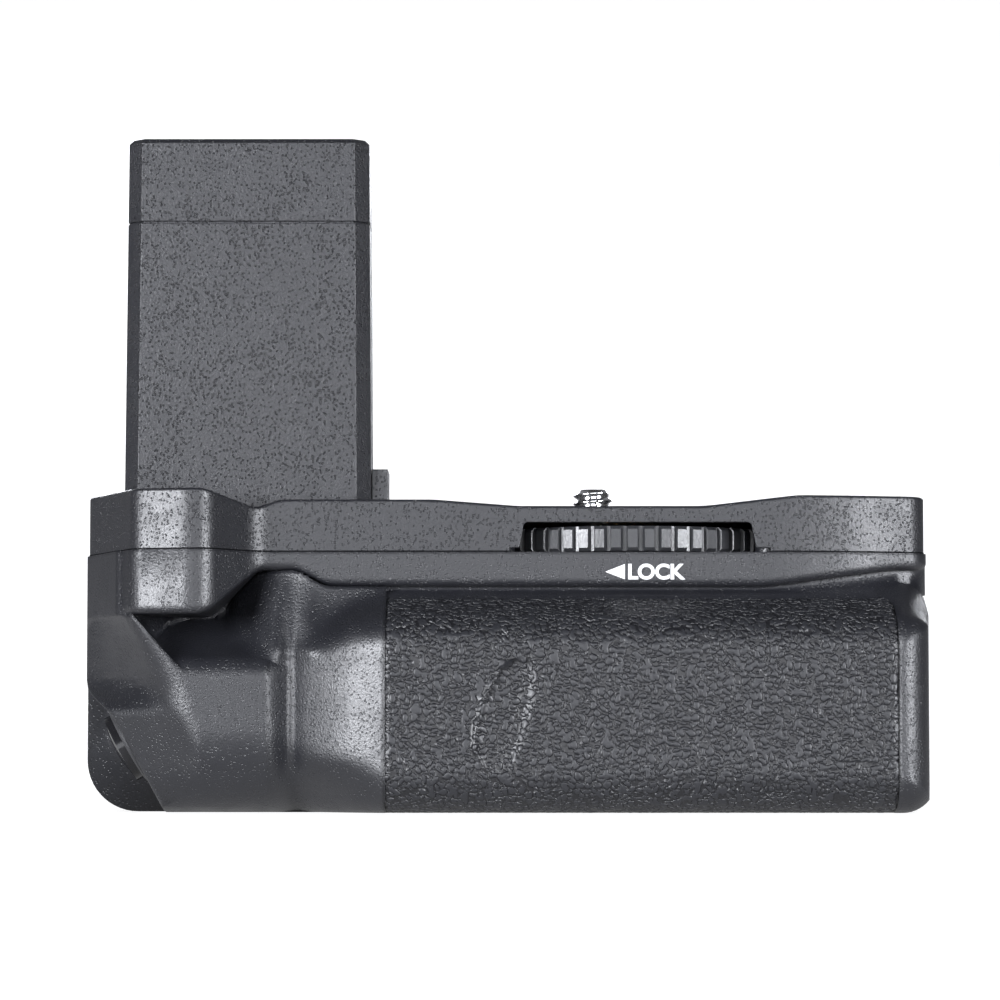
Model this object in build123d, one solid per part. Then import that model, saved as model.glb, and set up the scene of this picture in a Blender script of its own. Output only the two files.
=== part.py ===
from build123d import *
import math
import os

# Vertical battery grip for a small reflex camera.
# Millimetres. +Z up, the front faces -Y, +X is to the right of someone who looks at the front.
# The origin is the centre of the tripod socket, on the plane that the grip stands on.

# Overall body
BODY_LENGTH = 130.6
BULGE_FRONT_Y = -29.0
BOSS_FRONT_Y = -27.0
BAND_FRONT_Y = -18.0
SEAM_Z = 39.8
DECK_Z = 46.8
DECK_THICKNESS = 2.0
WALL = 2.0
FRONT_WALL = 1.6
SLOPE_WALL = 1.3
CAVITY_LEAD = 2.9
MOUTH_BLOCK = 12.0
UPPER_STEP = 0.35
BACK_EDGE_RADIUS = 5.5
END_RADIUS = 5.0
LEFT_BOTTOM_RADIUS = 8.0
RIGHT_FRONT_RADIUS = 4.5
RIGHT_FRONT_TAPER = 1.7
RIGHT_TAPER_Y = -14.0
FIT_GAP = 0.1
PANEL_GAP = 0.3
RUNNING_GAP = 0.05

# Tripod socket
SOCKET_RADIUS = 2.6
SOCKET_DEPTH = 7.0
BUSH_RADIUS = 4.0
BUSH_FLANGE_RADIUS = 5.2
BUSH_FLANGE = 1.0
BUSH_BOSS_WALL = 1.2

# Battery bay: two packs lie flat, one above the other, and go in through the right end
PACK_LENGTH = 53.0
PACK_WIDTH = 38.0
PACK_THICKNESS = 14.0
PACK_PLAY = 0.8
PACK_STACK_PLAY = 0.3
PACK_END_PLAY = 1.2
CONTACT_BLOCK_DEPTH = 2.8
DOOR_PAD_THICKNESS = 0.6
DOOR_THICKNESS = 1.6
DOOR_SEAT = 0.2
BAY_MOUTH = 3.25
BAY_FRONT_Y = -14.2
BAY_BACK_SPACE = 4.4
BAY_LOW_Z = 3.0
BAY_WALL = 1.0
BAY_CORNER_RADIUS = 1.5
BAY_RAIL = 0.8
FLOOR = 1.9
EJECT_REACH = 0.8
CONTACT_ROWS = (BAY_FRONT_Y + 4.2, BAY_FRONT_Y + 8.7, BAY_FRONT_Y + 13.2)
KNUCKLE_RADIUS = 1.25

# Lock wheel and tripod screw
SCREW_X = 13.5
SCREW_Y = 9.0
WHEEL_X = 19.5
WHEEL_Y = 3.71
WHEEL_RADIUS = 22.2
WHEEL_BACK_SPACE = 3.09

# The bay sets how far the right end is from the socket, and the body's length sets the left end.
# The back wall clears whichever reaches further back, the packs or the wheel.
CONTACT_BLOCK_X = BUSH_RADIUS + BUSH_BOSS_WALL + 0.2
BAY_LEFT_X = CONTACT_BLOCK_X + CONTACT_BLOCK_DEPTH
DOOR_INNER_X = BAY_LEFT_X + PACK_END_PLAY + PACK_LENGTH + DOOR_PAD_THICKNESS
DOOR_FRAME_X = DOOR_INNER_X - DOOR_SEAT
BAY_RIGHT_X = DOOR_FRAME_X - BAY_MOUTH
RIGHT_X = DOOR_INNER_X + DOOR_THICKNESS
LEFT_X = RIGHT_X - BODY_LENGTH
BAY_BACK_Y = BAY_FRONT_Y + PACK_WIDTH + PACK_PLAY
BAY_TOP_Z = BAY_LOW_Z + 2 * (PACK_THICKNESS + PACK_STACK_PLAY) + BAY_RAIL
BACK_Y = max(BAY_BACK_Y + BAY_BACK_SPACE, WHEEL_Y + WHEEL_RADIUS + WHEEL_BACK_SPACE)

# Plan of the band: the boss at the left, the step back to the flat front, the rounded right end
BOSS_CORNER_RADIUS = 4.0
BOSS_CROWN_X = LEFT_X + 17.2
BOSS_CROWN_RADIUS = 6.0
BOSS_RIGHT_X = LEFT_X + 20.6
BAND_LEFT_X = LEFT_X + 27.4
BAND_BEND_X = RIGHT_X - 16.9
BAND_END_Y = -13.5
BAND_END_RADIUS = 4.0
CORNER_Y = -4.0
CORNER_WIDTH = 8.8
CORNER_FOOT_WIDTH = 24.8
CORNER_EDGE_RADIUS = 1.5

# Lower edge of the band, as seen from the front
BOSS_LEDGE_Z = 30.0
STEP_LEDGE_Z = 37.0
BAND_LEDGE_Z = 34.5
END_LEDGE_Z = 37.2
LEDGE_EDGE_RADIUS = 1.2

# Upper lip, as seen from the front
BOSS_LIP_Z = 49.1
DIP_LIP_Z = 46.9
STEM_LIP_Z = 47.9
SCREW_LIP_Z = 46.9
END_LIP_Z = 48.6
LIP_THICKNESS = 1.5
LIP_EDGE_RADIUS = 0.5

# Core behind the finger recess
CORE_FRONT_Y = -16.5
RECESS_Y = -10.5
WALL_FRONT_Y = -24.0

# Swell of the grip (bulge), the valley beside it and the hump for the middle finger
SLOPE_ANGLE = 23.4
BULGE_SHOULDER_Z = 28.5
BULGE_SHOULDER_RADIUS = 6.0
BULGE_BOTTOM_RADIUS = 6.5
BULGE_LEFT_X = LEFT_X + 47.2
VALLEY_X = LEFT_X + 33.8
VALLEY_FRONT_Y = -20.8
HUMP_FRONT_Y = -24.5
HUMP_SHOULDER_Z = 22.7
HUMP_SHOULDER_RADIUS = 4.0
HUMP_BOTTOM_RADIUS = 13.0
RIDGE_X = LEFT_X + 29.4
COLUMN_RIGHT_X = LEFT_X + 8.5
COLUMN_LEAN = 0.93
SLOPE_TOP_Y = -9.0

# Shutter facet: a flat that runs from FACET_TOP to FACET_BOTTOM, seen edge-on from the front
FACET_TOP = (LEFT_X + 4.9, 15.2)
FACET_BOTTOM = (LEFT_X + 10.1, 5.8)
FACET_CENTRE_Z = 10.5
FACET_Y = -9.0
FACET_BACK_Y = -1.6
FACET_CORNER_Y = -16.0
FACET_CORNER_RADIUS = 7.0
FACET_BEND_Z = 20.4
FACET_WALL = 2.0
BUTTON_RADIUS = 5.5
BUTTON_PROUD = 1.7
BUTTON_DOME = 0.9
BUTTON_TRAVEL = 1.0
BUTTON_FLANGE = 0.8
COLLAR_WIDTH = 1.0
COLLAR_PROUD = 0.5
SHUTTER_POCKET_RADIUS = 8.0
SHUTTER_POCKET_DEPTH = 16.5
SHUTTER_BOARD_DEPTH = 9.2
SHUTTER_BOARD_THICKNESS = 1.2
SHUTTER_HOLDER_THICKNESS = 2.4

# Leatherette cover
COVER_THICKNESS = 1.0
COVER_LEFT_X = BULGE_LEFT_X + 0.2
COVER_RIGHT_X = RIGHT_X - 6.2
COVER_BACK_Y = -18.8
COVER_CORNER_RADIUS = 3.0
COVER_GAP = 0.15
DIMPLE_X = COVER_LEFT_X + 18.4
DIMPLE_Z = 15.6
DIMPLE_WIDTH = 9.0
DIMPLE_HEIGHT = 18.0
DIMPLE_DEPTH = 0.7
DIMPLE_LEAN = 22.0

# Stem
STEM_WIDTH = 38.1
STEM_LEFT_X = LEFT_X + 6.6
STEM_RIGHT_X = STEM_LEFT_X + STEM_WIDTH
STEM_FRONT_Y = -14.5
STEM_THICKNESS = 15.0
STEM_TAPER = 0.4
STEM_TOP_Z = 104.2
STEM_CAP_HEIGHT = 12.9
STEM_SPLIT_Z = STEM_TOP_Z - STEM_CAP_HEIGHT
STEM_CHAMFER = 2.2
STEM_WALL = 1.8
STEM_SPLIT_GROOVE = 0.35
STEM_CONTACTS = 4
STEM_CONTACT_PITCH = 4.2
STEM_CONTACT_WIDTH = 1.6
STEM_CONTACT_LENGTH = 6.0
STEM_CONTACT_THICKNESS = 0.8
LUG_WIDTH = 2.4
LUG_TOP_Z = 53.0
LUG_FRONT_Y = -11.0
LUG_BACK_Y = -1.0

# Flutes and internal gear of the wheel, and the screw in it
WHEEL_FLUTES = 54
FLUTE_DEPTH = 0.7
FLUTE_SHARE = 0.3
WHEEL_LOW_Z = 40.0
WHEEL_TOP_Z = 43.8
GEAR_LOW_Z = 41.6
GEAR_MODULE = 0.8
RING_TEETH = 44
PINION_TEETH = 24
GEAR_PRESSURE_ANGLE = 20.0
GEAR_BACKLASH = 0.16
GEAR_CLEARANCE = 0.25
HUB_GAP = 0.1
PLATE_THICKNESS = 1.6
PLATE_LOW_Z = 37.9
PLATE_LEFT_X = WHEEL_X - 24.0
PLATE_RIGHT_X = WHEEL_X + 24.0
PLATE_FRONT_Y = WHEEL_Y - 17.91
PLATE_BACK_Y = WHEEL_Y + 22.29
PLATE_BOSS_RADIUS = 2.4
PLATE_BOSS_INSET = 3.0
THREAD_RADIUS = 3.175
SCREW_TIP_Z = 51.1
NECK_RADIUS = 2.9
NECK_TOP_Z = 47.6
SHAFT_RADIUS = 3.0
SHAFT_LOW_Z = 35.9
SHOULDER_RADIUS = 4.2
CLIP_RADIUS = 4.6
CLIP_THICKNESS = 0.8
CLIP_GROOVE_RADIUS = 2.3
SCREW_HOLE_RADIUS = 3.7
WINDOW_LEFT_X = WHEEL_X - 17.2
WINDOW_RIGHT_X = WHEEL_X + 17.7
WINDOW_TOP_Z = 44.4
SLOT_LEFT_X = WHEEL_X - 19.5
SLOT_RIGHT_X = WHEEL_X + 20.6
SLOT_HEIGHT = 0.7
PAD_THICKNESS = 0.7
DECK_PAD = (SCREW_X - 7.5, SCREW_X + 18.5, SCREW_Y - 15.0, SCREW_Y + 13.0)

# Battery door in the right end face
DOOR_LAP = 0.8
DOOR_CORNER_RADIUS = 3.0
HINGE_X = RIGHT_X - KNUCKLE_RADIUS
HINGE_Y = BACK_Y - 3.0
DOOR_BACK_Y = HINGE_Y - 1.4
HINGE_PIN_RADIUS = 0.6
KNUCKLE_SWEEP = 2.1
KNUCKLE_LENGTH = 7.0
LATCH_Y = BAY_FRONT_Y + 7.0
LATCH_Z = 18.0
LATCH_HEIGHT = 8.0
LATCH_TRAVEL = 2.5
LATCH_PLATE = 1.2
LATCH_TONGUE = 1.6
LATCH_KNOB_LENGTH = 6.0
LATCH_DISH = 0.8

# Feet and thumb pad
FOOT_DEPTH = 0.8
FOOT_FRONT_Y = -8.0
FOOT_BACK_Y = 20.0
LEFT_FOOT_X = (LEFT_X + 22.3, -14.0)
RIGHT_FOOT_X = (14.0, RIGHT_X - 10.0)
THUMB_PAD = (LEFT_X + 7.8, LEFT_X + 33.8, 7.0, 27.0)
THUMB_PAD_DEPTH = 1.0
THUMB_PAD_PROUD = 0.3

# Electrics on the back wall and the left end
BOARD_RIGHT_X = CONTACT_BLOCK_X - 8.0
BOARD = (LEFT_X + 22.3, BOARD_RIGHT_X, 5.0, 35.0)
BOARD_THICKNESS = 1.6
BOARD_POST = 3.0
SWITCH_X = BOARD_RIGHT_X - 20.0
SWITCH_Z = 31.5
SWITCH_TRAVEL = 3.0
KNOB_LENGTH = 7.0
KNOB_HEIGHT = 4.0
KNOB_DISH = 1.2
LAMP_X = BOARD_RIGHT_X - 8.0
LAMP_RADIUS = 1.1
JACK_Y = 16.0
JACK_Z = 30.0
JACK_BORE_RADIUS = 1.3
JACK_BORE_DEPTH = 11.0
JACK_BARREL_RADIUS = 2.6

# Screws
SCREW_INSET = 4.65
DECK_SCREWS = (
    (RIGHT_X - SCREW_INSET, BACK_Y - 4.8),
    (RIGHT_X - SCREW_INSET, -2.0),
    (LEFT_X + SCREW_INSET, BACK_Y - 4.8),
    (LEFT_X + 15.8, BOSS_FRONT_Y + 4.6),
    (PLATE_LEFT_X - 7.5, BACK_Y - 4.8),
)
STEM_SCREWS = ((STEM_LEFT_X + 5.7, -7.0), (STEM_RIGHT_X - 5.8, -7.0))
SCREW_BOSS_RADIUS = 3.0
SCREW_BOSS_HEIGHT = 4.5
DECK_SCREW_BITE = 3.6
SMALL_SHANK_RADIUS = 1.0
SMALL_HEAD_RADIUS = 2.0
SMALL_HEAD_HEIGHT = 1.2
SHANK_CLEARANCE = 0.1
PILOT_CLEARANCE = 0.02

DECK_UNDERSIDE_Z = DECK_Z - DECK_THICKNESS
FAR = 200.0


def rounded_face(corners, plane=Plane.XY):
    """A closed flat face on a plane; each corner is (u, v, radius)."""
    points = [(u, v) for u, v, radius in corners]
    radii = [radius for u, v, radius in corners]
    outline = FilletPolyline(*points, radius=radii, close=True)
    return plane * make_face(outline)


def box(x0, x1, y0, y1, z0, z1):
    """A plain block between two corners."""
    middle = ((x0 + x1) / 2, (y0 + y1) / 2, (z0 + z1) / 2)
    return Pos(*middle) * Box(x1 - x0, y1 - y0, z1 - z0)


def rod(x, y, z0, z1, radius):
    """An upright cylinder between two heights."""
    return Pos(x, y, (z0 + z1) / 2) * Cylinder(radius, z1 - z0)


def rounded_block(x0, x1, y0, y1, z0, z1, radius):
    """A block with its four upright edges rounded."""
    corners = [(x0, y0, radius), (x1, y0, radius), (x1, y1, radius), (x0, y1, radius)]
    return extrude(rounded_face(corners, Plane.XY.offset(z0)), z1 - z0)


def rounded_plate(y0, y1, z0, z1, x0, x1, radius):
    """A plate that faces +X, with its four corners rounded."""
    corners = [(y0, z0, radius), (y1, z0, radius), (y1, z1, radius), (y0, z1, radius)]
    return extrude(rounded_face(corners, Plane.YZ.offset(x0)), x1 - x0)


def blend(x, start, end):
    """Goes smoothly from 0 at start to 1 at end."""
    share = min(1.0, max(0.0, (x - start) / (end - start)))
    return share * share * (3 - 2 * share)


def eased(x, start, bend_end, end):
    """Goes from 0 at start to 1 at end: a parabola up to the end of the bend, then a straight line."""
    slope = 1.0 / (end - (start + bend_end) / 2)
    if x <= start:
        return 0.0
    if x < bend_end:
        return slope * (x - start) ** 2 / (2 * (bend_end - start))
    return 1.0 - slope * (end - x)


def slope_z(y):
    """Height of the swell's upper slope above a place in depth."""
    return BULGE_SHOULDER_Z + (y - BULGE_FRONT_Y) * math.tan(math.radians(SLOPE_ANGLE))


def band_plan():
    """Plan of the band and of the upper housing: boss, step, flat front and rounded end."""
    return rounded_face([
        (LEFT_X, BACK_Y, 6.0),
        (LEFT_X, CORNER_Y, CORNER_EDGE_RADIUS),
        (LEFT_X + CORNER_WIDTH, HUMP_FRONT_Y, BOSS_CORNER_RADIUS),
        (BOSS_CROWN_X, BOSS_FRONT_Y, BOSS_CROWN_RADIUS),
        (BOSS_RIGHT_X, BOSS_FRONT_Y, 4.0),
        (BAND_LEFT_X, BAND_FRONT_Y, 5.0),
        (BAND_BEND_X, BAND_FRONT_Y, 60.0),
        (RIGHT_X, BAND_END_Y, BAND_END_RADIUS),
        (RIGHT_X, BACK_Y, END_RADIUS),
    ])


def core_plan():
    """Plan of the core behind the recess, below the band."""
    return rounded_face([
        (LEFT_X, BACK_Y, 6.0),
        (LEFT_X, CORNER_Y, CORNER_EDGE_RADIUS),
        (LEFT_X + CORNER_WIDTH - 1.0, WALL_FRONT_Y, 2.5),
        (LEFT_X + 15.3, RECESS_Y, 6.0),
        (LEFT_X + 24.6, RECESS_Y, 4.0),
        (LEFT_X + 30.6, CORE_FRONT_Y, 5.0),
        (BAND_BEND_X, CORE_FRONT_Y, 60.0),
        (RIGHT_X, BAND_END_Y + 1.5, BAND_END_RADIUS),
        (RIGHT_X, BACK_Y, END_RADIUS),
    ])


def swell_section(x, front_y, shoulder_z, shoulder_radius, top_y, top_z, bottom_radius):
    """Section across the grip's front swell, up to the plane y = 4."""
    return rounded_face([
        (4.0, top_z + 1.0, 0.0),
        (top_y, top_z, 2.0),
        (front_y, shoulder_z, shoulder_radius),
        (front_y, 0.0, bottom_radius),
        (4.0, 0.0, 0.0),
    ], Plane.YZ.offset(x))


def hump_section(x):
    """Section of the swell across the hump, whose top slopes up to the ledge of the boss."""
    return swell_section(
        x, HUMP_FRONT_Y, HUMP_SHOULDER_Z, HUMP_SHOULDER_RADIUS, RECESS_Y, BOSS_LEDGE_Z, HUMP_BOTTOM_RADIUS)


def rise_section(x, front_y, share):
    """Section of the swell between hump and bulge; share says how far it has come to the bulge."""
    def between(first, last):
        return first + (last - first) * share
    return swell_section(
        x, front_y, between(HUMP_SHOULDER_Z, BULGE_SHOULDER_Z),
        between(HUMP_SHOULDER_RADIUS, BULGE_SHOULDER_RADIUS), between(RECESS_Y, SLOPE_TOP_Y),
        between(BOSS_LEDGE_Z, slope_z(SLOPE_TOP_Y)), between(HUMP_BOTTOM_RADIUS, BULGE_BOTTOM_RADIUS))


def left_swell():
    """Hump, valley and the rise to the bulge, as strips between sections that change smoothly."""
    sections = []
    for station in (0.0, 0.6, 1.2, 1.8, 2.6, 3.5, 4.4, 5.4, 6.4, 7.6, 13.0):
        x = RIDGE_X + station
        front_y = HUMP_FRONT_Y + (VALLEY_FRONT_Y - HUMP_FRONT_Y) * blend(x, RIDGE_X - 0.3, VALLEY_X)
        front_y += (BULGE_FRONT_Y - VALLEY_FRONT_Y) * eased(x, VALLEY_X - 0.5, VALLEY_X + 3.5, BULGE_LEFT_X)
        sections.append(rise_section(x, front_y, blend(x, RIDGE_X - 1.0, BULGE_LEFT_X)))
    sections.append(rise_section(BULGE_LEFT_X, BULGE_FRONT_Y, 1.0))
    hump = extrude(hump_section(LEFT_X), RIDGE_X - LEFT_X)
    return hump + loft(sections, ruled=True)


def bulge_profile():
    """Section of the grip's right part, from the front swell to the back."""
    return rounded_face([
        (BACK_Y, slope_z(SLOPE_TOP_Y) + 1.0, 0.0),
        (SLOPE_TOP_Y, slope_z(SLOPE_TOP_Y), 0.0),
        (BULGE_FRONT_Y, BULGE_SHOULDER_Z, BULGE_SHOULDER_RADIUS),
        (BULGE_FRONT_Y, 0.0, BULGE_BOTTOM_RADIUS),
        (BACK_Y, 0.0, BACK_EDGE_RADIUS),
    ], Plane.YZ.offset(BULGE_LEFT_X))


def right_body():
    """The bulge with its pillow-shaped right end, which narrows a little towards the front."""
    body = extrude(bulge_profile(), RIGHT_X - BULGE_LEFT_X)
    end_edges = body.faces().sort_by(Axis.X)[-1].edges().sort_by(Axis.Z)
    body = fillet(end_edges[:-1], END_RADIUS)
    corner = rounded_face([
        (LEFT_X, 40.0, 0.0),
        (LEFT_X, BULGE_FRONT_Y, 0.0),
        (RIGHT_X - RIGHT_FRONT_TAPER, BULGE_FRONT_Y, RIGHT_FRONT_RADIUS),
        (RIGHT_X, RIGHT_TAPER_Y, 8.0),
        (RIGHT_X, 40.0, 0.0),
    ])
    return body & extrude(corner, FAR)


def core_body():
    """The tub's core: its plan, with the rounded lower edges of the back and the ends."""
    body = extrude(core_plan(), SEAM_Z)
    side = rounded_face([
        (-FAR, FAR, 0.0),
        (-FAR, 0.0, 0.0),
        (BACK_Y, 0.0, BACK_EDGE_RADIUS),
        (BACK_Y, FAR, 0.0),
    ], Plane.YZ.offset(-FAR))
    return body & extrude(side, 2 * FAR)


def outer_edges(solid, faces):
    """Edges of the solid that only one of the faces has, apart from those of the back."""
    chosen = []
    for edge in solid.edges():
        owners = [face for face in faces if any(other.is_same(edge) for other in face.edges())]
        if len(owners) == 1 and edge.center().Y < BACK_Y - 1.0:
            chosen.append(edge)
    return chosen


def band_body():
    """The band and boss above the recess, with their soft lower edge."""
    band = extrude(Plane.XY.offset(BOSS_LEDGE_Z - 5.0) * band_plan(), SEAM_Z - BOSS_LEDGE_Z + 5.0)
    below = rounded_face([
        (-FAR, 0.0, 0.0),
        (-FAR, BOSS_LEDGE_Z, 0.0),
        (BOSS_RIGHT_X - 0.5, BOSS_LEDGE_Z, 4.0),
        (BAND_LEFT_X, STEP_LEDGE_Z, 3.0),
        (BAND_LEFT_X + 6.0, STEP_LEDGE_Z, 4.0),
        (BAND_LEFT_X + 10.5, BAND_LEDGE_Z, 5.0),
        (BAND_BEND_X - 8.0, BAND_LEDGE_Z, 30.0),
        (RIGHT_X - 5.25, END_LEDGE_Z, 20.0),
        (FAR, END_LEDGE_Z, 0.0),
        (FAR, 0.0, 0.0),
    ], Plane.XZ.offset(-FAR))
    band -= extrude(below, 2 * FAR)
    undersides = [face for face in band.faces() if face.normal_at().Z < -0.3]
    return fillet(outer_edges(band, undersides), LEDGE_EDGE_RADIUS)


def facet_frame(depth=0.0):
    """Plane on the shutter facet: +Z points out of the facet, X along +Y of the grip."""
    along = Vector(FACET_TOP[0] - FACET_BOTTOM[0], 0, FACET_TOP[1] - FACET_BOTTOM[1])
    outward = Vector(-along.Z, 0, along.X).normalized()
    share = (FACET_TOP[1] - FACET_CENTRE_Z) / (FACET_TOP[1] - FACET_BOTTOM[1])
    centre_x = FACET_TOP[0] + (FACET_BOTTOM[0] - FACET_TOP[0]) * share
    origin = Vector(centre_x, FACET_Y, FACET_CENTRE_Z) - outward * depth
    return Plane(origin=origin, x_dir=(0, 1, 0), z_dir=outward)


def facet_x(z):
    """Where the left face stands at a height: the end wall, then a bend into the slanted facet."""
    slant = (FACET_BOTTOM[0] - FACET_TOP[0]) / (FACET_TOP[1] - FACET_BOTTOM[1])
    on_facet = FACET_TOP[0] + (FACET_TOP[1] - z) * slant
    return on_facet + (LEFT_X - on_facet) * blend(z, FACET_TOP[1] - 0.5, FACET_BEND_Z)


def left_end():
    """The lower left corner as it stays: facet, end wall and the wide band that turns to the front."""
    sections = []
    for z in (-1.0, 7.5, FACET_TOP[1] - 0.5, 15.8, 16.9, 18.0, 19.1, FACET_BEND_Z, 23.0, 26.5, BOSS_LEDGE_Z):
        x = facet_x(z)
        to_boss = blend(z, FACET_BEND_Z - 5.0, BOSS_LEDGE_Z)
        to_wall = blend(z, FACET_TOP[1] - 0.5, FACET_BEND_Z)
        corner_y = FACET_CORNER_Y + (CORNER_Y - FACET_CORNER_Y) * to_wall
        front_x = LEFT_X + CORNER_FOOT_WIDTH + (CORNER_WIDTH - CORNER_FOOT_WIDTH) * z / BOSS_LEDGE_Z
        radius = FACET_CORNER_RADIUS + (BOSS_CORNER_RADIUS - FACET_CORNER_RADIUS) * to_boss
        sections.append(rounded_face([
            (x, BACK_Y, 0.0),
            (x, corner_y, CORNER_EDGE_RADIUS),
            (front_x, HUMP_FRONT_Y, radius),
            (VALLEY_X, HUMP_FRONT_Y, 0.0),
            (VALLEY_X, BACK_Y, 0.0),
        ], Plane.XY.offset(z)))
    return loft(sections, ruled=True) + box(-FAR, VALLEY_X, FACET_BACK_Y, FAR, 0, BOSS_LEDGE_Z)


def left_column():
    """The corner that goes on from the hump up to the boss, left of the finger recess."""
    reach = BOSS_LEDGE_Z - FACET_TOP[1]
    front = rounded_face([
        (LEFT_X, BOSS_LEDGE_Z + 0.5, 0.0),
        (COLUMN_RIGHT_X, BOSS_LEDGE_Z + 0.5, 0.0),
        (COLUMN_RIGHT_X + reach * COLUMN_LEAN, FACET_TOP[1], 0.0),
        (LEFT_X, FACET_TOP[1], 0.0),
    ], Plane.XZ.offset(-RECESS_Y - 1.0))
    return extrude(front, FAR / 2)


def front_outline():
    """Prism of the front view: the lower corners of both ends are rounded."""
    front = rounded_face([
        (LEFT_X, FAR, 0.0),
        (LEFT_X, 0.0, LEFT_BOTTOM_RADIUS),
        (RIGHT_X, 0.0, END_RADIUS - 0.4),
        (RIGHT_X, FAR, 0.0),
    ], Plane.XZ.offset(-FAR))
    return extrude(front, 2 * FAR)


def lower_form():
    """Outer form of the lower housing, solid."""
    swell = left_swell() & box(-FAR, BULGE_LEFT_X, BULGE_FRONT_Y, FAR, 0, FAR)
    under_swell = box(-FAR, BULGE_LEFT_X, -FAR, HUMP_FRONT_Y + HUMP_BOTTOM_RADIUS, -1.0, HUMP_BOTTOM_RADIUS)
    core = core_body() - under_swell
    left = (core + swell + left_column()) & left_end() & box(-FAR, VALLEY_X - 1.0, -FAR, FAR, 0, FAR)
    rest = (core + swell) & box(VALLEY_X - 1.0, FAR, -FAR, FAR, 0, FAR)
    above = core & box(-FAR, VALLEY_X - 1.0, -FAR, FAR, BOSS_LEDGE_Z, FAR)
    form = (left + above + rest + right_body()) & front_outline()
    return form + band_body()


def cover_strip(gap):
    """The layer that the leatherette fills: slope, front and the wrap under the base."""
    whole = bulge_profile()
    inner = offset(whole, -COVER_THICKNESS)
    left = COVER_LEFT_X - gap
    right = COVER_RIGHT_X + gap
    strip = extrude(whole - inner, right - left)
    strip = Pos(left - BULGE_LEFT_X, 0, 0) * strip
    half_height = BULGE_SHOULDER_Z / 2
    upper_plan = rounded_face([
        (left - 1.0, 2 * BULGE_FRONT_Y, 0.0),
        (right, 2 * BULGE_FRONT_Y, 0.0),
        (right, COVER_BACK_Y + gap, COVER_CORNER_RADIUS + gap),
        (left - 1.0, COVER_BACK_Y + gap, 0.0),
    ], Plane.XY.offset(half_height))
    region = extrude(upper_plan, half_height * 2)
    region += box(left - 1.0, right, 2 * BULGE_FRONT_Y, COVER_BACK_Y + gap, -1.0, half_height)
    return strip & region


def grip_cover():
    """Leatherette skin of the bulge, with the leaf-shaped dimple for a finger tip."""
    cover = cover_strip(0.0)
    scoop_radius = (DIMPLE_WIDTH * DIMPLE_WIDTH / 4 + DIMPLE_DEPTH * DIMPLE_DEPTH) / (2 * DIMPLE_DEPTH)
    scoop = Sphere(scoop_radius)
    scoop = scale(scoop, (1.0, 1.0, DIMPLE_HEIGHT / DIMPLE_WIDTH))
    centre_y = BULGE_FRONT_Y + DIMPLE_DEPTH - scoop_radius
    scoop = Pos(DIMPLE_X, centre_y, DIMPLE_Z) * Rot(0, DIMPLE_LEAN, 0) * scoop
    return cover - scoop


def battery_hole(x0, x1):
    """Mouth of the battery bay, with rounded corners."""
    return rounded_plate(BAY_FRONT_Y, BAY_BACK_Y, BAY_LOW_Z, BAY_TOP_Z, x0, x1, BAY_CORNER_RADIUS)


def tub_cavity():
    """Hollow of the lower housing, open at the seam."""
    return bulge_cavity() + core_cavity() + boss_cavity()


def bulge_cavity():
    """Hollow behind the swell and under its slope, with the plain core's hollow over the bay."""
    front_y = BULGE_FRONT_Y + COVER_THICKNESS + FRONT_WALL
    slope_wall = SLOPE_WALL / math.cos(math.radians(SLOPE_ANGLE))
    under_cover = slope_wall + COVER_THICKNESS / math.cos(math.radians(SLOPE_ANGLE))
    high_y = CORE_FRONT_Y + WALL
    step_y = COVER_BACK_Y + SLOPE_WALL
    profile = rounded_face([
        (BACK_Y - WALL, SEAM_Z + 1.0, 0.0),
        (high_y, SEAM_Z + 1.0, 0.0),
        (high_y, slope_z(high_y) - slope_wall, 0.0),
        (step_y, slope_z(step_y) - slope_wall, 0.0),
        (step_y, slope_z(step_y) - under_cover, 0.0),
        (front_y, slope_z(front_y) - under_cover, 3.0),
        (front_y, FLOOR, 5.0),
        (BACK_Y - WALL, FLOOR, 1.5),
    ], Plane.YZ.offset(BULGE_LEFT_X + CAVITY_LEAD))
    hollow = extrude(profile, BAY_RIGHT_X - BULGE_LEFT_X - CAVITY_LEAD)
    hollow -= box(BAY_RIGHT_X - MOUTH_BLOCK, FAR, -FAR, FAR, BAY_TOP_Z + BAY_WALL, FAR)
    over_bay = extrude(Plane.XY.offset(BAY_TOP_Z + BAY_WALL) * offset(core_plan(), -WALL), FAR)
    return hollow + over_bay


def core_cavity():
    """Hollow of the core, left of the swell's own hollow; it stays clear of the shutter pocket."""
    right = BULGE_LEFT_X + CAVITY_LEAD + 1.0
    hollow = extrude(Plane.XY.offset(FLOOR) * offset(core_plan(), -WALL), SEAM_Z)
    behind_facet = box(-FAR, right, FACET_BACK_Y + FACET_WALL, FAR, 0, FAR)
    beside_facet = box(BOSS_RIGHT_X + 1.6, right, -FAR, FAR, 0, FAR)
    hollow = hollow & (behind_facet + beside_facet)
    side = rounded_face([
        (-FAR, FAR, 0.0),
        (-FAR, FLOOR, 0.0),
        (BACK_Y - WALL, FLOOR, 3.5),
        (BACK_Y - WALL, FAR, 0.0),
    ], Plane.YZ.offset(-FAR))
    front = rounded_face([
        (LEFT_X + WALL, FAR, 0.0),
        (LEFT_X + WALL, FLOOR, LEFT_BOTTOM_RADIUS - WALL),
        (FAR, FLOOR, 0.0),
        (FAR, FAR, 0.0),
    ], Plane.XZ.offset(-FAR))
    return hollow & extrude(side, 2 * FAR) & extrude(front, 2 * FAR)


def boss_cavity():
    """Hollow of the boss, above the finger recess."""
    hollow = extrude(Plane.XY.offset(BOSS_LEDGE_Z + WALL) * offset(band_plan(), -WALL), SEAM_Z)
    return hollow & box(-FAR, BOSS_RIGHT_X - 1.4, -FAR, FAR, 0, FAR)


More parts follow.
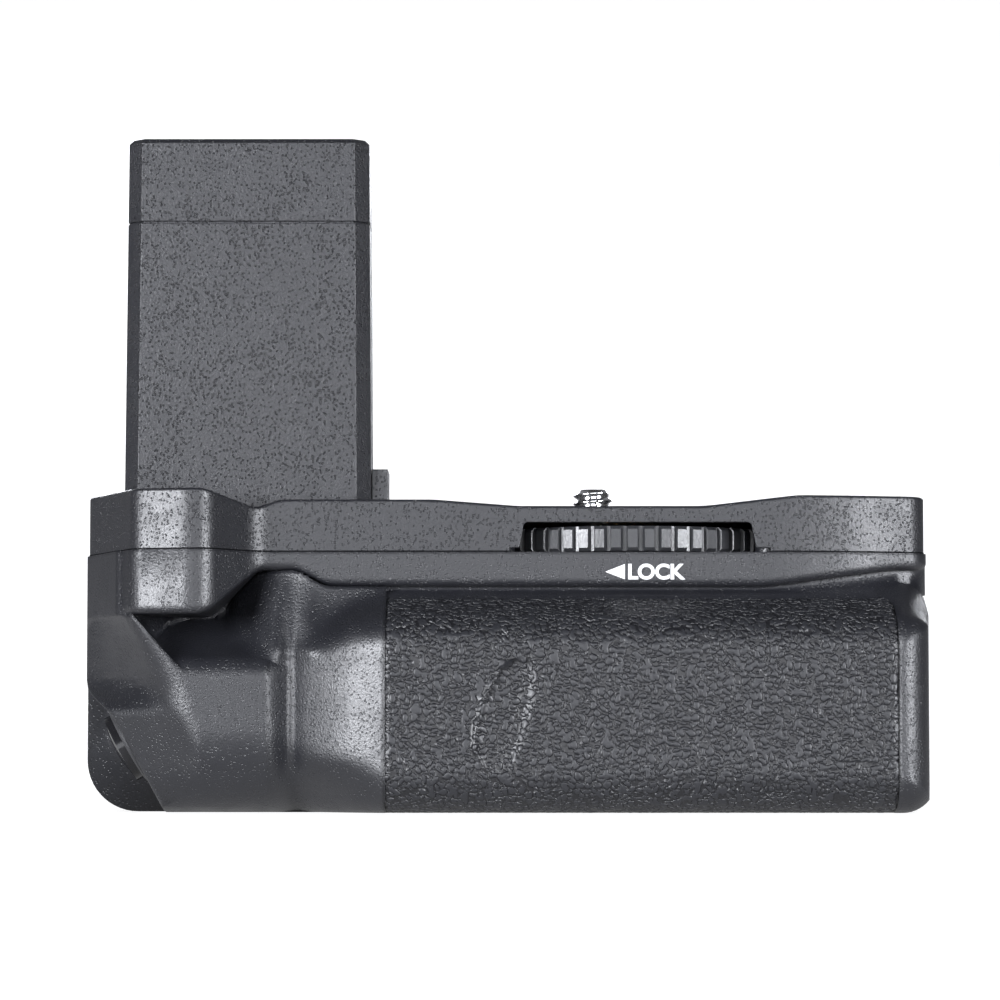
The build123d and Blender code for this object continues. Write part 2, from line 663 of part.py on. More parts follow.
def board_places():
    """Places of the main board's four screws on the back wall."""
    x0, x1, z0, z1 = BOARD
    inset = BOARD_POST
    return [(x, z) for x in (x0 + inset, x1 - inset) for z in (z0 + inset, z1 - inset)]


def boss_places(z):
    """Places of the deck screws at a height."""
    return [Pos(x, y, z) for x, y in DECK_SCREWS]


def lower_housing():
    """Moulded tub of the grip."""
    tub = lower_form() - tub_cavity()
    tub -= cover_strip(COVER_GAP)
    tub += bush_boss()
    tub += lower_bosses()
    tub -= battery_hole(BAY_RIGHT_X - 1.0, FAR)
    tub -= door_recess()
    pocket = facet_frame(FACET_WALL) * Cylinder(
        SHUTTER_POCKET_RADIUS, SHUTTER_POCKET_DEPTH, align=(Align.CENTER, Align.CENTER, Align.MAX))
    tub -= pocket & box(-FAR, VALLEY_X - 4.3, -FAR, FAR, 0, SEAM_Z)
    tub += door_knuckle_carrier()
    tub -= facet_frame() * Cylinder(BUTTON_RADIUS + COLLAR_WIDTH, 10.0)
    tub -= rod(0, 0, -1.0, 20.0, BUSH_RADIUS + PILOT_CLEARANCE)
    tub -= rod(0, 0, -1.0, BUSH_FLANGE, BUSH_FLANGE_RADIUS + PILOT_CLEARANCE)
    for x0, x1 in (LEFT_FOOT_X, RIGHT_FOOT_X):
        tub -= rounded_block(
            x0 - FIT_GAP, x1 + FIT_GAP, FOOT_FRONT_Y - FIT_GAP, FOOT_BACK_Y + FIT_GAP, -1.0, FOOT_DEPTH, 3.0)
    tub -= thumb_pad_block(FIT_GAP, BACK_Y - THUMB_PAD_DEPTH, BACK_Y + 5.0)
    tub -= power_openings()
    tub -= jack_hole()
    for x, z in board_places():
        hole = Cylinder(SMALL_SHANK_RADIUS + PILOT_CLEARANCE, BOARD_POST * 2)
        tub -= Pos(x, BACK_Y - WALL - BOARD_POST + 0.5, z) * Rot(90, 0, 0) * hole
    for place in boss_places(SEAM_Z):
        tub -= place * Cylinder(SMALL_SHANK_RADIUS + PILOT_CLEARANCE, 2 * (DECK_SCREW_BITE + 0.5))
    return tub


def bush_boss():
    """Boss of the base that holds the tripod bush."""
    return rod(0, 0, 0.5, SOCKET_DEPTH + 1.0, BUSH_RADIUS + BUSH_BOSS_WALL)


def lower_bosses():
    """Screw bosses below the seam and posts on the back wall for the main board."""
    bosses = []
    for place in boss_places(SEAM_Z):
        boss = place * Cylinder(
            SCREW_BOSS_RADIUS, SCREW_BOSS_HEIGHT, align=(Align.CENTER, Align.CENTER, Align.MAX))
        bosses.append(boss)
    for x, z in board_places():
        middle = BACK_Y - WALL + 0.5 - BOARD_POST / 2
        bosses.append(Pos(x, middle, z) * Rot(90, 0, 0) * Cylinder(2.0, BOARD_POST + 1.0))
    result = bosses[0]
    for boss in bosses[1:]:
        result += boss
    return result


def door_outline(gap, x0, x1):
    """Block of the door's panel region, grown by a gap."""
    return rounded_plate(
        BAY_FRONT_Y - DOOR_LAP - gap, DOOR_BACK_Y + gap, BAY_LOW_Z - DOOR_LAP / 2 - gap,
        BAY_TOP_Z + DOOR_LAP + gap, x0, x1, DOOR_CORNER_RADIUS)


def knuckle_heights():
    """Lower and upper end of the door's two knuckles."""
    low = BAY_LOW_Z + 2.0
    high = BAY_TOP_Z - 2.0
    return ((low, low + KNUCKLE_LENGTH), (high - KNUCKLE_LENGTH, high))


def door_recess():
    """Rebate of the right end face for the door, its knuckles and the latch tongue."""
    recess = door_outline(PANEL_GAP, DOOR_FRAME_X, FAR)
    for z0, z1 in knuckle_heights():
        recess += rod(HINGE_X, HINGE_Y, z0 - PANEL_GAP, z1 + PANEL_GAP, KNUCKLE_SWEEP + PANEL_GAP)
    z0 = knuckle_heights()[0][0] - 2.0
    z1 = knuckle_heights()[1][1] + 2.0
    recess += rod(HINGE_X, HINGE_Y, z0, z1, HINGE_PIN_RADIUS)
    tongue = box(
        DOOR_FRAME_X - LATCH_TONGUE - 2 * PANEL_GAP, DOOR_FRAME_X + 0.5,
        BAY_FRONT_Y - LATCH_TONGUE - PANEL_GAP, BAY_FRONT_Y + 1.0,
        LATCH_Z - LATCH_HEIGHT / 2 - PANEL_GAP, LATCH_Z + LATCH_HEIGHT / 2 + PANEL_GAP)
    return recess + tongue


def door_knuckle_carrier():
    """Middle knuckle of the hinge, which the housing carries."""
    low = knuckle_heights()[0][1] + PANEL_GAP
    high = knuckle_heights()[1][0] - PANEL_GAP
    knuckle = rod(HINGE_X, HINGE_Y, low, high, KNUCKLE_RADIUS)
    knuckle += box(HINGE_X - KNUCKLE_RADIUS, HINGE_X, HINGE_Y, BACK_Y - 1.0, low, high)
    return knuckle - rod(HINGE_X, HINGE_Y, 0, SEAM_Z, HINGE_PIN_RADIUS + PILOT_CLEARANCE)


def power_openings():
    """Dish and slot for the power knob, and the hole for the status lamp."""
    half = KNOB_LENGTH / 2
    left = SWITCH_X - half - PANEL_GAP
    right = SWITCH_X + half + SWITCH_TRAVEL + PANEL_GAP
    dish = box(
        left, right, BACK_Y - KNOB_DISH, BACK_Y + 1.0,
        SWITCH_Z - KNOB_HEIGHT / 2 - PANEL_GAP, SWITCH_Z + KNOB_HEIGHT / 2 + PANEL_GAP)
    slot = box(
        SWITCH_X - 1.3, SWITCH_X + SWITCH_TRAVEL + 1.3, BACK_Y - 5.0, BACK_Y, SWITCH_Z - 1.1, SWITCH_Z + 1.1)
    lamp = Pos(LAMP_X, BACK_Y, SWITCH_Z) * Rot(90, 0, 0) * Cylinder(LAMP_RADIUS + PILOT_CLEARANCE, 10.0)
    return dish + slot + lamp


def jack_hole():
    """Hole of the left end face for the remote release jack."""
    hole = Pos(LEFT_X, JACK_Y, JACK_Z) * Rot(0, 90, 0)
    return hole * Cylinder(JACK_BARREL_RADIUS + PILOT_CLEARANCE, 10.0)


def thumb_pad_block(gap, y0, y1):
    """Block of the thumb pad in the back, with rounded corners."""
    x0, x1, z0, z1 = THUMB_PAD
    face = rounded_face([
        (x0 - gap, z0 - gap, 6.0),
        (x1 + gap, z0 - gap, 3.0),
        (x1 + gap, z1 + gap, 3.0),
        (x0 - gap, z1 + gap, 3.0),
    ], Plane.XZ.offset(-y1))
    return extrude(face, y1 - y0)


def deck_lip():
    """Region below the lip line, as seen from the front."""
    lip = rounded_face([
        (-FAR, 0.0, 0.0),
        (-FAR, BOSS_LIP_Z, 0.0),
        (BOSS_RIGHT_X - 1.0, BOSS_LIP_Z, 4.0),
        (LEFT_X + 27.05, DIP_LIP_Z - 0.3, 2.5),
        (LEFT_X + 31.05, STEM_LIP_Z, 5.0),
        (STEM_RIGHT_X + 9.7, STEM_LIP_Z, 20.0),
        (STEM_RIGHT_X + 22.7, SCREW_LIP_Z, 20.0),
        (SCREW_X + 16.5, SCREW_LIP_Z, 30.0),
        (RIGHT_X - 20.25, END_LIP_Z, 20.0),
        (FAR, END_LIP_Z, 0.0),
        (FAR, 0.0, 0.0),
    ], Plane.XZ.offset(-FAR))
    return extrude(lip, 2 * FAR)


def upper_housing():
    """Upper shell: the deck that the camera stands on, its lip and the wheel window."""
    outline = offset(band_plan(), -UPPER_STEP)
    shell = extrude(Plane.XY.offset(SEAM_Z) * outline, BOSS_LIP_Z - SEAM_Z + 1.0) & deck_lip()
    tops = [face for face in shell.faces() if face.normal_at().Z > 0.3]
    shell = fillet(outer_edges(shell, tops), LIP_EDGE_RADIUS)
    inner = offset(outline, -LIP_THICKNESS)
    shell -= extrude(Plane.XY.offset(DECK_Z) * inner, 20.0)
    cavity = offset(outline, -WALL)
    shell -= extrude(Plane.XY.offset(SEAM_Z - 1.0) * cavity, DECK_UNDERSIDE_Z - SEAM_Z + 1.0)
    for place in boss_places(SEAM_Z):
        boss = place * Cylinder(
            SCREW_BOSS_RADIUS, DECK_Z - SEAM_Z, align=(Align.CENTER, Align.CENTER, Align.MIN))
        shell += boss & extrude(Plane.XY.offset(SEAM_Z) * outline, 20.0)
    for x, y in plate_corners():
        shell += rod(x, y, PLATE_LOW_Z + PLATE_THICKNESS, DECK_Z - 0.5, PLATE_BOSS_RADIUS)
        shell -= rod(x, y, 0, DECK_UNDERSIDE_Z - 0.5, SMALL_SHANK_RADIUS + PILOT_CLEARANCE)
    shell += box(STEM_RIGHT_X + FIT_GAP, STEM_RIGHT_X + FIT_GAP + LUG_WIDTH, LUG_FRONT_Y, LUG_BACK_Y,
                 DECK_Z - 1.0, LUG_TOP_Z)
    shell -= deck_holes()
    return shell


def plate_corners():
    """Places of the chassis plate's four screws."""
    x0 = PLATE_LEFT_X + PLATE_BOSS_INSET
    x1 = PLATE_RIGHT_X - PLATE_BOSS_INSET
    y0 = PLATE_FRONT_Y + PLATE_BOSS_INSET - 0.4
    y1 = PLATE_BACK_Y - PLATE_BOSS_INSET - 0.6
    return ((x0, y0), (x1, y0), (x1, y1), (x0, y1))


def deck_holes():
    """Screw hole, wheel window, seam slot and the small screws' holes of the upper shell."""
    holes = rod(SCREW_X, SCREW_Y, SEAM_Z, FAR, SCREW_HOLE_RADIUS)
    window = rounded_face([
        (WINDOW_LEFT_X - 1.0, SEAM_Z - 1.0, 0.0),
        (WINDOW_RIGHT_X + 1.0, SEAM_Z - 1.0, 0.0),
        (WINDOW_RIGHT_X, WINDOW_TOP_Z, 0.8),
        (WINDOW_LEFT_X, WINDOW_TOP_Z, 0.8),
    ], Plane.XZ.offset(-CORE_FRONT_Y - 1.0))
    holes += extrude(window, 10.0)
    holes += box(SLOT_LEFT_X, SLOT_RIGHT_X, -FAR, CORE_FRONT_Y + 1.0, SEAM_Z - 1.0, SEAM_Z + SLOT_HEIGHT)
    for x, y in DECK_SCREWS:
        holes += rod(x, y, SEAM_Z - 1.0, FAR, SMALL_SHANK_RADIUS + SHANK_CLEARANCE)
        holes += rod(x, y, DECK_Z - SMALL_HEAD_HEIGHT - FIT_GAP, FAR, SMALL_HEAD_RADIUS + FIT_GAP)
    for x, y in STEM_SCREWS:
        holes += rod(x, y, SEAM_Z, FAR, SMALL_SHANK_RADIUS + SHANK_CLEARANCE)
    return holes


def stem_rectangle(z, inset):
    """Chamfered section of the stem at a height."""
    share = (z - DECK_Z) / (STEM_TOP_Z - DECK_Z)
    x0 = STEM_LEFT_X + STEM_TAPER * share + inset
    x1 = STEM_RIGHT_X - STEM_TAPER * share - inset
    y0 = STEM_FRONT_Y + inset
    y1 = STEM_FRONT_Y + STEM_THICKNESS - inset
    cut = STEM_CHAMFER
    points = [
        (x0 + cut, y0), (x1 - cut, y0), (x1, y0 + cut), (x1, y1 - cut),
        (x1 - cut, y1), (x0 + cut, y1), (x0, y1 - cut), (x0, y0 + cut),
    ]
    return Plane.XY.offset(z) * make_face(Polyline(*points, close=True))


def stem_prism(z0, z1, inset):
    """A stretch of the stem between two heights."""
    return loft([stem_rectangle(z0, inset), stem_rectangle(z1, inset)], ruled=True)


def stem_housing():
    """Dummy pack that goes up into the camera, open at its top for the cap."""
    stem = stem_prism(DECK_Z, STEM_SPLIT_Z - STEM_SPLIT_GROOVE, 0.0)
    stem += stem_prism(STEM_SPLIT_Z - 1.0, STEM_SPLIT_Z, STEM_SPLIT_GROOVE)
    stem -= stem_prism(DECK_Z + STEM_WALL, STEM_SPLIT_Z + 1.0, STEM_WALL)
    for x, y in STEM_SCREWS:
        stem += rod(x, y, DECK_Z + 1.0, DECK_Z + 10.0, SCREW_BOSS_RADIUS)
        stem -= rod(x, y, DECK_Z - 1.0, DECK_Z + 8.6, SMALL_SHANK_RADIUS + PILOT_CLEARANCE)
    return stem


def stem_contact_places():
    """Places across the cap of the stem contacts."""
    middle = (STEM_LEFT_X + STEM_RIGHT_X) / 2
    first = -(STEM_CONTACTS - 1) / 2
    return [middle + (first + i) * STEM_CONTACT_PITCH for i in range(STEM_CONTACTS)]


def stem_cap():
    """Cap of the stem with the slots of its contacts."""
    cap = stem_prism(STEM_SPLIT_Z, STEM_TOP_Z, 0.0)
    top = cap.faces().sort_by(Axis.Z)[-1]
    cap = chamfer(top.edges(), 0.7)
    cap -= stem_prism(STEM_SPLIT_Z - 1.0, STEM_TOP_Z - STEM_WALL - 0.4, STEM_WALL)
    y_back = STEM_FRONT_Y + STEM_THICKNESS
    for x in stem_contact_places():
        half = STEM_CONTACT_WIDTH / 2
        cap -= box(x - half, x + half, y_back - 4.0 - STEM_CONTACT_LENGTH, y_back - 4.0,
                   STEM_TOP_Z - STEM_CONTACT_THICKNESS, STEM_TOP_Z + 1.0)
    return cap


def stem_contacts():
    """Gilt contact blades let into the cap."""
    y_back = STEM_FRONT_Y + STEM_THICKNESS
    half = STEM_CONTACT_WIDTH / 2 - PILOT_CLEARANCE
    blades = []
    for x in stem_contact_places():
        low = STEM_TOP_Z - STEM_CONTACT_THICKNESS
        blade = box(x - half, x + half, y_back - 4.0 - STEM_CONTACT_LENGTH + 0.05, y_back - 4.05,
                    low, STEM_TOP_Z - 0.3)
        blades.append(blade)
    return blades


def involute_angle(base, radius):
    """How far an involute has turned round its base circle when it reaches a radius."""
    roll = math.sqrt(max(0.0, (radius / base) ** 2 - 1.0))
    return roll - math.atan(roll)


def gear_face(teeth, tip_radius, root_radius, extra):
    """Involute gear outline; extra widens each tooth at the pitch circle."""
    pitch = GEAR_MODULE * teeth / 2
    base = pitch * math.cos(math.radians(GEAR_PRESSURE_ANGLE))
    half_tooth = math.pi / (2 * teeth) + extra / (2 * pitch)
    pitch_roll = math.tan(math.radians(GEAR_PRESSURE_ANGLE)) - math.radians(GEAR_PRESSURE_ANGLE)
    start = max(base, root_radius)
    points = []
    for tooth in range(teeth):
        centre = 2 * math.pi * tooth / teeth
        flank = [(root_radius, half_tooth + pitch_roll - involute_angle(base, start))]
        for step in range(4):
            radius = start + (tip_radius - start) * step / 3
            flank.append((radius, half_tooth + pitch_roll - involute_angle(base, radius)))
        if start == root_radius:
            flank = flank[1:]
        points += [(r * math.cos(centre - a), r * math.sin(centre - a)) for r, a in flank]
        points += [(r * math.cos(centre + a), r * math.sin(centre + a)) for r, a in reversed(flank)]
    return make_face(Polyline(*points, close=True))


def fluted_face(radius):
    """Outline of the lock wheel: ridges with narrow grooves between them."""
    points = []
    step = 2 * math.pi / WHEEL_FLUTES
    for i in range(WHEEL_FLUTES):
        middle = i * step
        groove = step * FLUTE_SHARE / 2
        ramp = groove * 1.45
        for angle, r in ((-ramp, radius), (-groove * 0.6, radius - FLUTE_DEPTH),
                         (groove * 0.6, radius - FLUTE_DEPTH), (ramp, radius)):
            points.append((r * math.cos(middle + angle), r * math.sin(middle + angle)))
    return make_face(Polyline(*points, close=True))


def lock_wheel():
    """Ring-shaped wheel: flutes outside, a plain bearing bore below and internal teeth above."""
    height = WHEEL_TOP_Z - WHEEL_LOW_Z
    wheel = extrude(Plane.XY.offset(WHEEL_LOW_Z) * fluted_face(WHEEL_RADIUS), height)
    disc = Pos(0, 0, WHEEL_LOW_Z) * Cylinder(
        WHEEL_RADIUS, height, align=(Align.CENTER, Align.CENTER, Align.MIN))
    wheel = wheel & chamfer(disc.edges(), 0.5)
    wheel -= rod(0, 0, 0, GEAR_LOW_Z, ring_root_radius())
    tip_radius = GEAR_MODULE * (RING_TEETH / 2 - 1)
    ring = gear_face(RING_TEETH, ring_root_radius(), tip_radius, GEAR_BACKLASH / 2)
    wheel -= extrude(Plane.XY.offset(GEAR_LOW_Z - 0.01) * ring, 10.0)
    return Pos(WHEEL_X, WHEEL_Y, 0) * Rot(0, 0, ring_turn()) * wheel


def ring_root_radius():
    """Radius to the bottom of the ring's tooth spaces."""
    return GEAR_MODULE * (RING_TEETH / 2 + 1) + GEAR_CLEARANCE


def mesh_angle():
    """Direction from the wheel's axis to the screw's axis, in degrees."""
    return math.degrees(math.atan2(SCREW_Y - WHEEL_Y, SCREW_X - WHEEL_X))


def ring_turn():
    """Turns the ring so that a tooth space lies on the line of centres."""
    return mesh_angle()


def wheel_hub():
    """Fixed disc that the wheel turns on; the screw's shaft turns in its bore."""
    top = GEAR_LOW_Z - RUNNING_GAP * 3
    low = PLATE_LOW_Z + PLATE_THICKNESS
    hub = rod(WHEEL_X, WHEEL_Y, low + 0.4, top, ring_root_radius() - HUB_GAP)
    hub += rod(WHEEL_X, WHEEL_Y, low, low + 0.5, ring_root_radius() - HUB_GAP - 1.0)
    hub -= rod(WHEEL_X, WHEEL_Y, low - 1.0, low + 0.9, GEAR_MODULE * PINION_TEETH / 2 - 6.0)
    return hub - rod(SCREW_X, SCREW_Y, 0, FAR, SHAFT_RADIUS + RUNNING_GAP)


def chassis_plate():
    """Steel plate under the gear, hung from four bosses of the upper shell."""
    low = PLATE_LOW_Z
    plate = rounded_block(
        PLATE_LEFT_X, PLATE_RIGHT_X, PLATE_FRONT_Y, PLATE_BACK_Y, low, low + PLATE_THICKNESS, 3.0)
    plate -= rod(SCREW_X, SCREW_Y, 0, FAR, SHAFT_RADIUS + RUNNING_GAP)
    for x, y in plate_corners():
        plate -= rod(x, y, 0, FAR, SMALL_SHANK_RADIUS + SHANK_CLEARANCE)
    for x in (WHEEL_X - 12.0, WHEEL_X + 15.0):
        plate -= rod(x, WHEEL_Y - 11.0, 0, PLATE_LOW_Z + PLATE_THICKNESS, 2.0)
    return plate


def tripod_screw():
    """The 1/4 inch camera screw, with its shoulder and the shaft that the gear sits on."""
    shaft = rod(SCREW_X, SCREW_Y, SHAFT_LOW_Z, WHEEL_TOP_Z, SHAFT_RADIUS)
    shoulder = rod(SCREW_X, SCREW_Y, WHEEL_TOP_Z, DECK_UNDERSIDE_Z - FIT_GAP, SHOULDER_RADIUS)
    neck = rod(SCREW_X, SCREW_Y, WHEEL_TOP_Z, SCREW_TIP_Z, NECK_RADIUS)
    thread = rod(SCREW_X, SCREW_Y, NECK_TOP_Z, SCREW_TIP_Z, THREAD_RADIUS)
    thread = chamfer(thread.edges().sort_by(Axis.Z)[-1], 0.6)
    slot = box(-FAR, FAR, SCREW_Y - 0.5, SCREW_Y + 0.5, SCREW_TIP_Z - 1.0, FAR)
    low = PLATE_LOW_Z - CLIP_THICKNESS - RUNNING_GAP
    groove = rod(SCREW_X, SCREW_Y, low - FIT_GAP, PLATE_LOW_Z - RUNNING_GAP + FIT_GAP, SHAFT_RADIUS + 1.0)
    groove -= rod(SCREW_X, SCREW_Y, 0, FAR, CLIP_GROOVE_RADIUS)
    return shaft + shoulder + neck + thread - slot - groove


def screw_gear():
    """Pinion on the screw, inside the wheel's teeth."""
    tip_radius = GEAR_MODULE * (PINION_TEETH / 2 + 1)
    root_radius = GEAR_MODULE * (PINION_TEETH / 2 - 1) - GEAR_CLEARANCE
    face = gear_face(PINION_TEETH, tip_radius, root_radius, -GEAR_BACKLASH / 2)
    gear = extrude(Plane.XY.offset(GEAR_LOW_Z) * face, WHEEL_TOP_Z - GEAR_LOW_Z)
    gear = Pos(SCREW_X, SCREW_Y, 0) * Rot(0, 0, mesh_angle()) * gear
    return gear - rod(SCREW_X, SCREW_Y, 0, FAR, SHAFT_RADIUS + PILOT_CLEARANCE)


def screw_clip():
    """Open retaining clip in the groove of the screw's shaft."""
    top = PLATE_LOW_Z - RUNNING_GAP
    clip = rod(SCREW_X, SCREW_Y, top - CLIP_THICKNESS, top, CLIP_RADIUS)
    clip -= rod(SCREW_X, SCREW_Y, 0, FAR, CLIP_GROOVE_RADIUS + PILOT_CLEARANCE)
    return clip - box(SCREW_X, SCREW_X + 9.0, SCREW_Y - 1.9, SCREW_Y + 1.9, 0, FAR)


def small_screw(x, y, head_z, length, up):
    """A small screw; up is 1 when its head is at the top and -1 when it is below."""
    head = Cylinder(SMALL_HEAD_RADIUS, SMALL_HEAD_HEIGHT, align=(Align.CENTER, Align.CENTER, Align.MAX))
    recess = Box(2.4, 0.6, 0.8) + Box(0.6, 2.4, 0.8)
    shank = Cylinder(SMALL_SHANK_RADIUS, length, align=(Align.CENTER, Align.CENTER, Align.MAX))
    screw = head + shank - recess
    if up < 0:
        screw = Rot(180, 0, 0) * screw
    return Pos(x, y, head_z) * screw


def deck_screws():
    """Screws that hold the upper shell on the tub."""
    return [small_screw(x, y, DECK_Z, DECK_Z - SEAM_Z + DECK_SCREW_BITE, 1) for x, y in DECK_SCREWS]


def stem_screws():
    """Screws that hold the stem, from under the deck."""
    head_z = DECK_UNDERSIDE_Z - SMALL_HEAD_HEIGHT
    return [small_screw(x, y, head_z, 10.5, -1) for x, y in STEM_SCREWS]


def chassis_screws():
    """Screws that hold the chassis plate, from below."""
    head_z = PLATE_LOW_Z - SMALL_HEAD_HEIGHT
    return [small_screw(x, y, head_z, 6.4, -1) for x, y in plate_corners()]


def deck_pad():
    """Rubber pad round the screw, on which the camera's base rests."""
    x0, x1, y0, y1 = DECK_PAD
    pad = rounded_block(x0, x1, y0, y1, DECK_Z, DECK_Z + PAD_THICKNESS, 4.0)
    return pad - rod(SCREW_X, SCREW_Y, 0, FAR, SCREW_HOLE_RADIUS + 1.0)


def shutter_button():
    """Domed button with the flange that keeps it in its wall."""
    frame = facet_frame()
    upward = (Align.CENTER, Align.CENTER, Align.MIN)
    low = -FACET_WALL - BUTTON_FLANGE - BUTTON_TRAVEL - FIT_GAP
    bore_radius = BUTTON_RADIUS - RUNNING_GAP
    stem = Cylinder(bore_radius, BUTTON_PROUD - low - BUTTON_TRAVEL, align=upward)
    stem = Pos(0, 0, low + BUTTON_TRAVEL) * stem
    dome_radius = (bore_radius ** 2 + BUTTON_DOME ** 2) / (2 * BUTTON_DOME)
    dome = Pos(0, 0, BUTTON_PROUD + BUTTON_DOME - dome_radius) * Sphere(dome_radius)
    cap = Pos(0, 0, BUTTON_PROUD) * Cylinder(bore_radius, BUTTON_DOME * 2, align=upward) & dome
    flange = Pos(0, 0, -FACET_WALL - BUTTON_FLANGE - FIT_GAP) * Cylinder(
        BUTTON_RADIUS + 1.6, BUTTON_FLANGE, align=upward)
    tip = Pos(0, 0, -FACET_WALL - BUTTON_FLANGE - 1.6) * Cylinder(1.6, 2.0, align=upward)
    hollow = Pos(0, 0, -9.0) * Cylinder(bore_radius - 1.2, 9.0, align=upward)
    hollow -= Pos(0, 0, -9.0) * Cylinder(1.6, 9.0, align=upward)
    body = stem + cap + flange - hollow + tip
    return frame * body


def shutter_collar():
    """Ring let into the facet round the button."""
    ring = Cylinder(BUTTON_RADIUS + COLLAR_WIDTH - PILOT_CLEARANCE, FACET_WALL + COLLAR_PROUD)
    ring -= Cylinder(BUTTON_RADIUS, 10.0)
    ring = chamfer(ring.edges().sort_by(Axis.Z)[-2:], 0.25)
    return facet_frame() * Pos(0, 0, (COLLAR_PROUD - FACET_WALL) / 2) * ring


def shutter_spring():
    """Coil spring between the button's flange and the board."""
    high = -FACET_WALL - BUTTON_FLANGE - FIT_GAP - 0.3
    low = -SHUTTER_BOARD_DEPTH + 0.3
    wire = 0.25
    path = Helix(pitch=(high - low) / 3.0, height=high - low, radius=5.9)
    section = Plane(origin=path @ 0, z_dir=path % 0) * Circle(wire)
    coil = sweep(section, path=path)
    return facet_frame() * Pos(0, 0, low) * coil


def shutter_switch():
    """Small push switch on the shutter board, under the button's tip."""
    floor = -SHUTTER_BOARD_DEPTH
    tip = -FACET_WALL - BUTTON_FLANGE - 1.6 - BUTTON_TRAVEL - 0.15
    case_top = floor + 2.6
    case = Pos(0, 0, floor) * Box(6.0, 6.0, 2.6, align=(Align.CENTER, Align.CENTER, Align.MIN))
    plunger = Cylinder(1.5, tip - case_top, align=(Align.CENTER, Align.CENTER, Align.MIN))
    plunger = Pos(0, 0, case_top) * plunger
    return facet_frame() * (case + plunger)


def shutter_board():
    """Round board that carries the push switch."""
    board = Cylinder(
        SHUTTER_POCKET_RADIUS - FIT_GAP, SHUTTER_BOARD_THICKNESS,
        align=(Align.CENTER, Align.CENTER, Align.MAX))
    return facet_frame() * Pos(0, 0, -SHUTTER_BOARD_DEPTH) * board


def shutter_holder():
    """Plug that closes the pocket behind the shutter board."""
    plug = Pos(0, 0, -SHUTTER_BOARD_DEPTH - SHUTTER_BOARD_THICKNESS) * Cylinder(
        SHUTTER_POCKET_RADIUS - RUNNING_GAP, SHUTTER_HOLDER_THICKNESS,
        align=(Align.CENTER, Align.CENTER, Align.MAX))
    plug -= Pos(5.0, 0, -SHUTTER_BOARD_DEPTH) * Cylinder(1.2, 20.0)
    return facet_frame() * plug


def battery_bay():
    """Liner of the bay with guide rails between the two packs."""
    back = BAY_BACK_Y
    top = BAY_TOP_Z
    liner = rounded_plate(
        BAY_FRONT_Y - BAY_WALL, back + BAY_WALL, FLOOR + FIT_GAP, top + BAY_WALL,
        CONTACT_BLOCK_X, BAY_RIGHT_X, BAY_CORNER_RADIUS + BAY_WALL)
    liner -= rounded_plate(BAY_FRONT_Y, back, BAY_LOW_Z, top, CONTACT_BLOCK_X - 1.0, FAR, BAY_CORNER_RADIUS)
    rail_z = (BAY_LOW_Z + top) / 2
    for y0, y1 in ((BAY_FRONT_Y - 0.5, BAY_FRONT_Y + 1.5), (back - 1.5, back + 0.5)):
        liner += box(BAY_LEFT_X + 1.0, BAY_RIGHT_X, y0, y1, rail_z - BAY_RAIL / 2, rail_z + BAY_RAIL / 2)
    return liner


def contact_block():
    """Moulding at the bay's inner end that carries the contacts."""
    block = rounded_plate(
        BAY_FRONT_Y + FIT_GAP, BAY_BACK_Y - FIT_GAP, BAY_LOW_Z + FIT_GAP, BAY_TOP_Z - FIT_GAP,
        CONTACT_BLOCK_X, BAY_LEFT_X, 1.4)
    for y, z in bay_contact_places():
        block -= box(BAY_LEFT_X - 1.5, BAY_LEFT_X + 1.0, y - 1.2, y + 1.2, z - 3.0, z + 3.0)
    return block


def pack_middles():
    """Middle heights of the two packs."""
    half = (BAY_TOP_Z - BAY_LOW_Z) / 4
    return (BAY_LOW_Z + half, BAY_TOP_Z - half)


def bay_contact_places():
    """Places of the three contacts of each pack."""
    return [(y, z) for z in pack_middles() for y in CONTACT_ROWS]


def bay_contacts():
    """Bent leaf contacts, three for each pack."""
    leaves = []
    for y, z in bay_contact_places():
        foot = box(BAY_LEFT_X - 1.5, BAY_LEFT_X - 1.2, y - 1.0, y + 1.0, z - 2.8, z + 2.8)
        bow = rounded_face([
            (BAY_LEFT_X - 1.35, z - 2.4, 0.0),
            (BAY_LEFT_X + 0.9, z, 0.5),
            (BAY_LEFT_X - 1.35, z + 2.4, 0.0),
        ], Plane.XZ.offset(-y - 1.0))
        solid = extrude(bow, 2.0)
        hollow = Pos(-0.35, 0, 0) * solid
        leaves.append(foot + (solid - hollow))
    return leaves


def eject_springs():
    """Two bent leaf springs that push the packs out a little."""
    leaves = []
    foot = BAY_LEFT_X + FIT_GAP
    crown = BAY_LEFT_X + EJECT_REACH
    middle = BAY_BACK_Y - 7.6
    for z in pack_middles():
        bow = rounded_face([
            (middle - 5.0, foot, 0.0),
            (middle, crown, 2.0),
            (middle + 5.0, foot, 0.0),
            (middle + 5.0, foot + 0.3, 0.0),
            (middle, crown + 0.3, 2.0),
            (middle - 5.0, foot + 0.3, 0.0),
        ], Plane(origin=(0, 0, z - 2.0), x_dir=(0, 1, 0), z_dir=(0, 0, -1)))
        leaves.append(extrude(bow, -4.0))
    return leaves


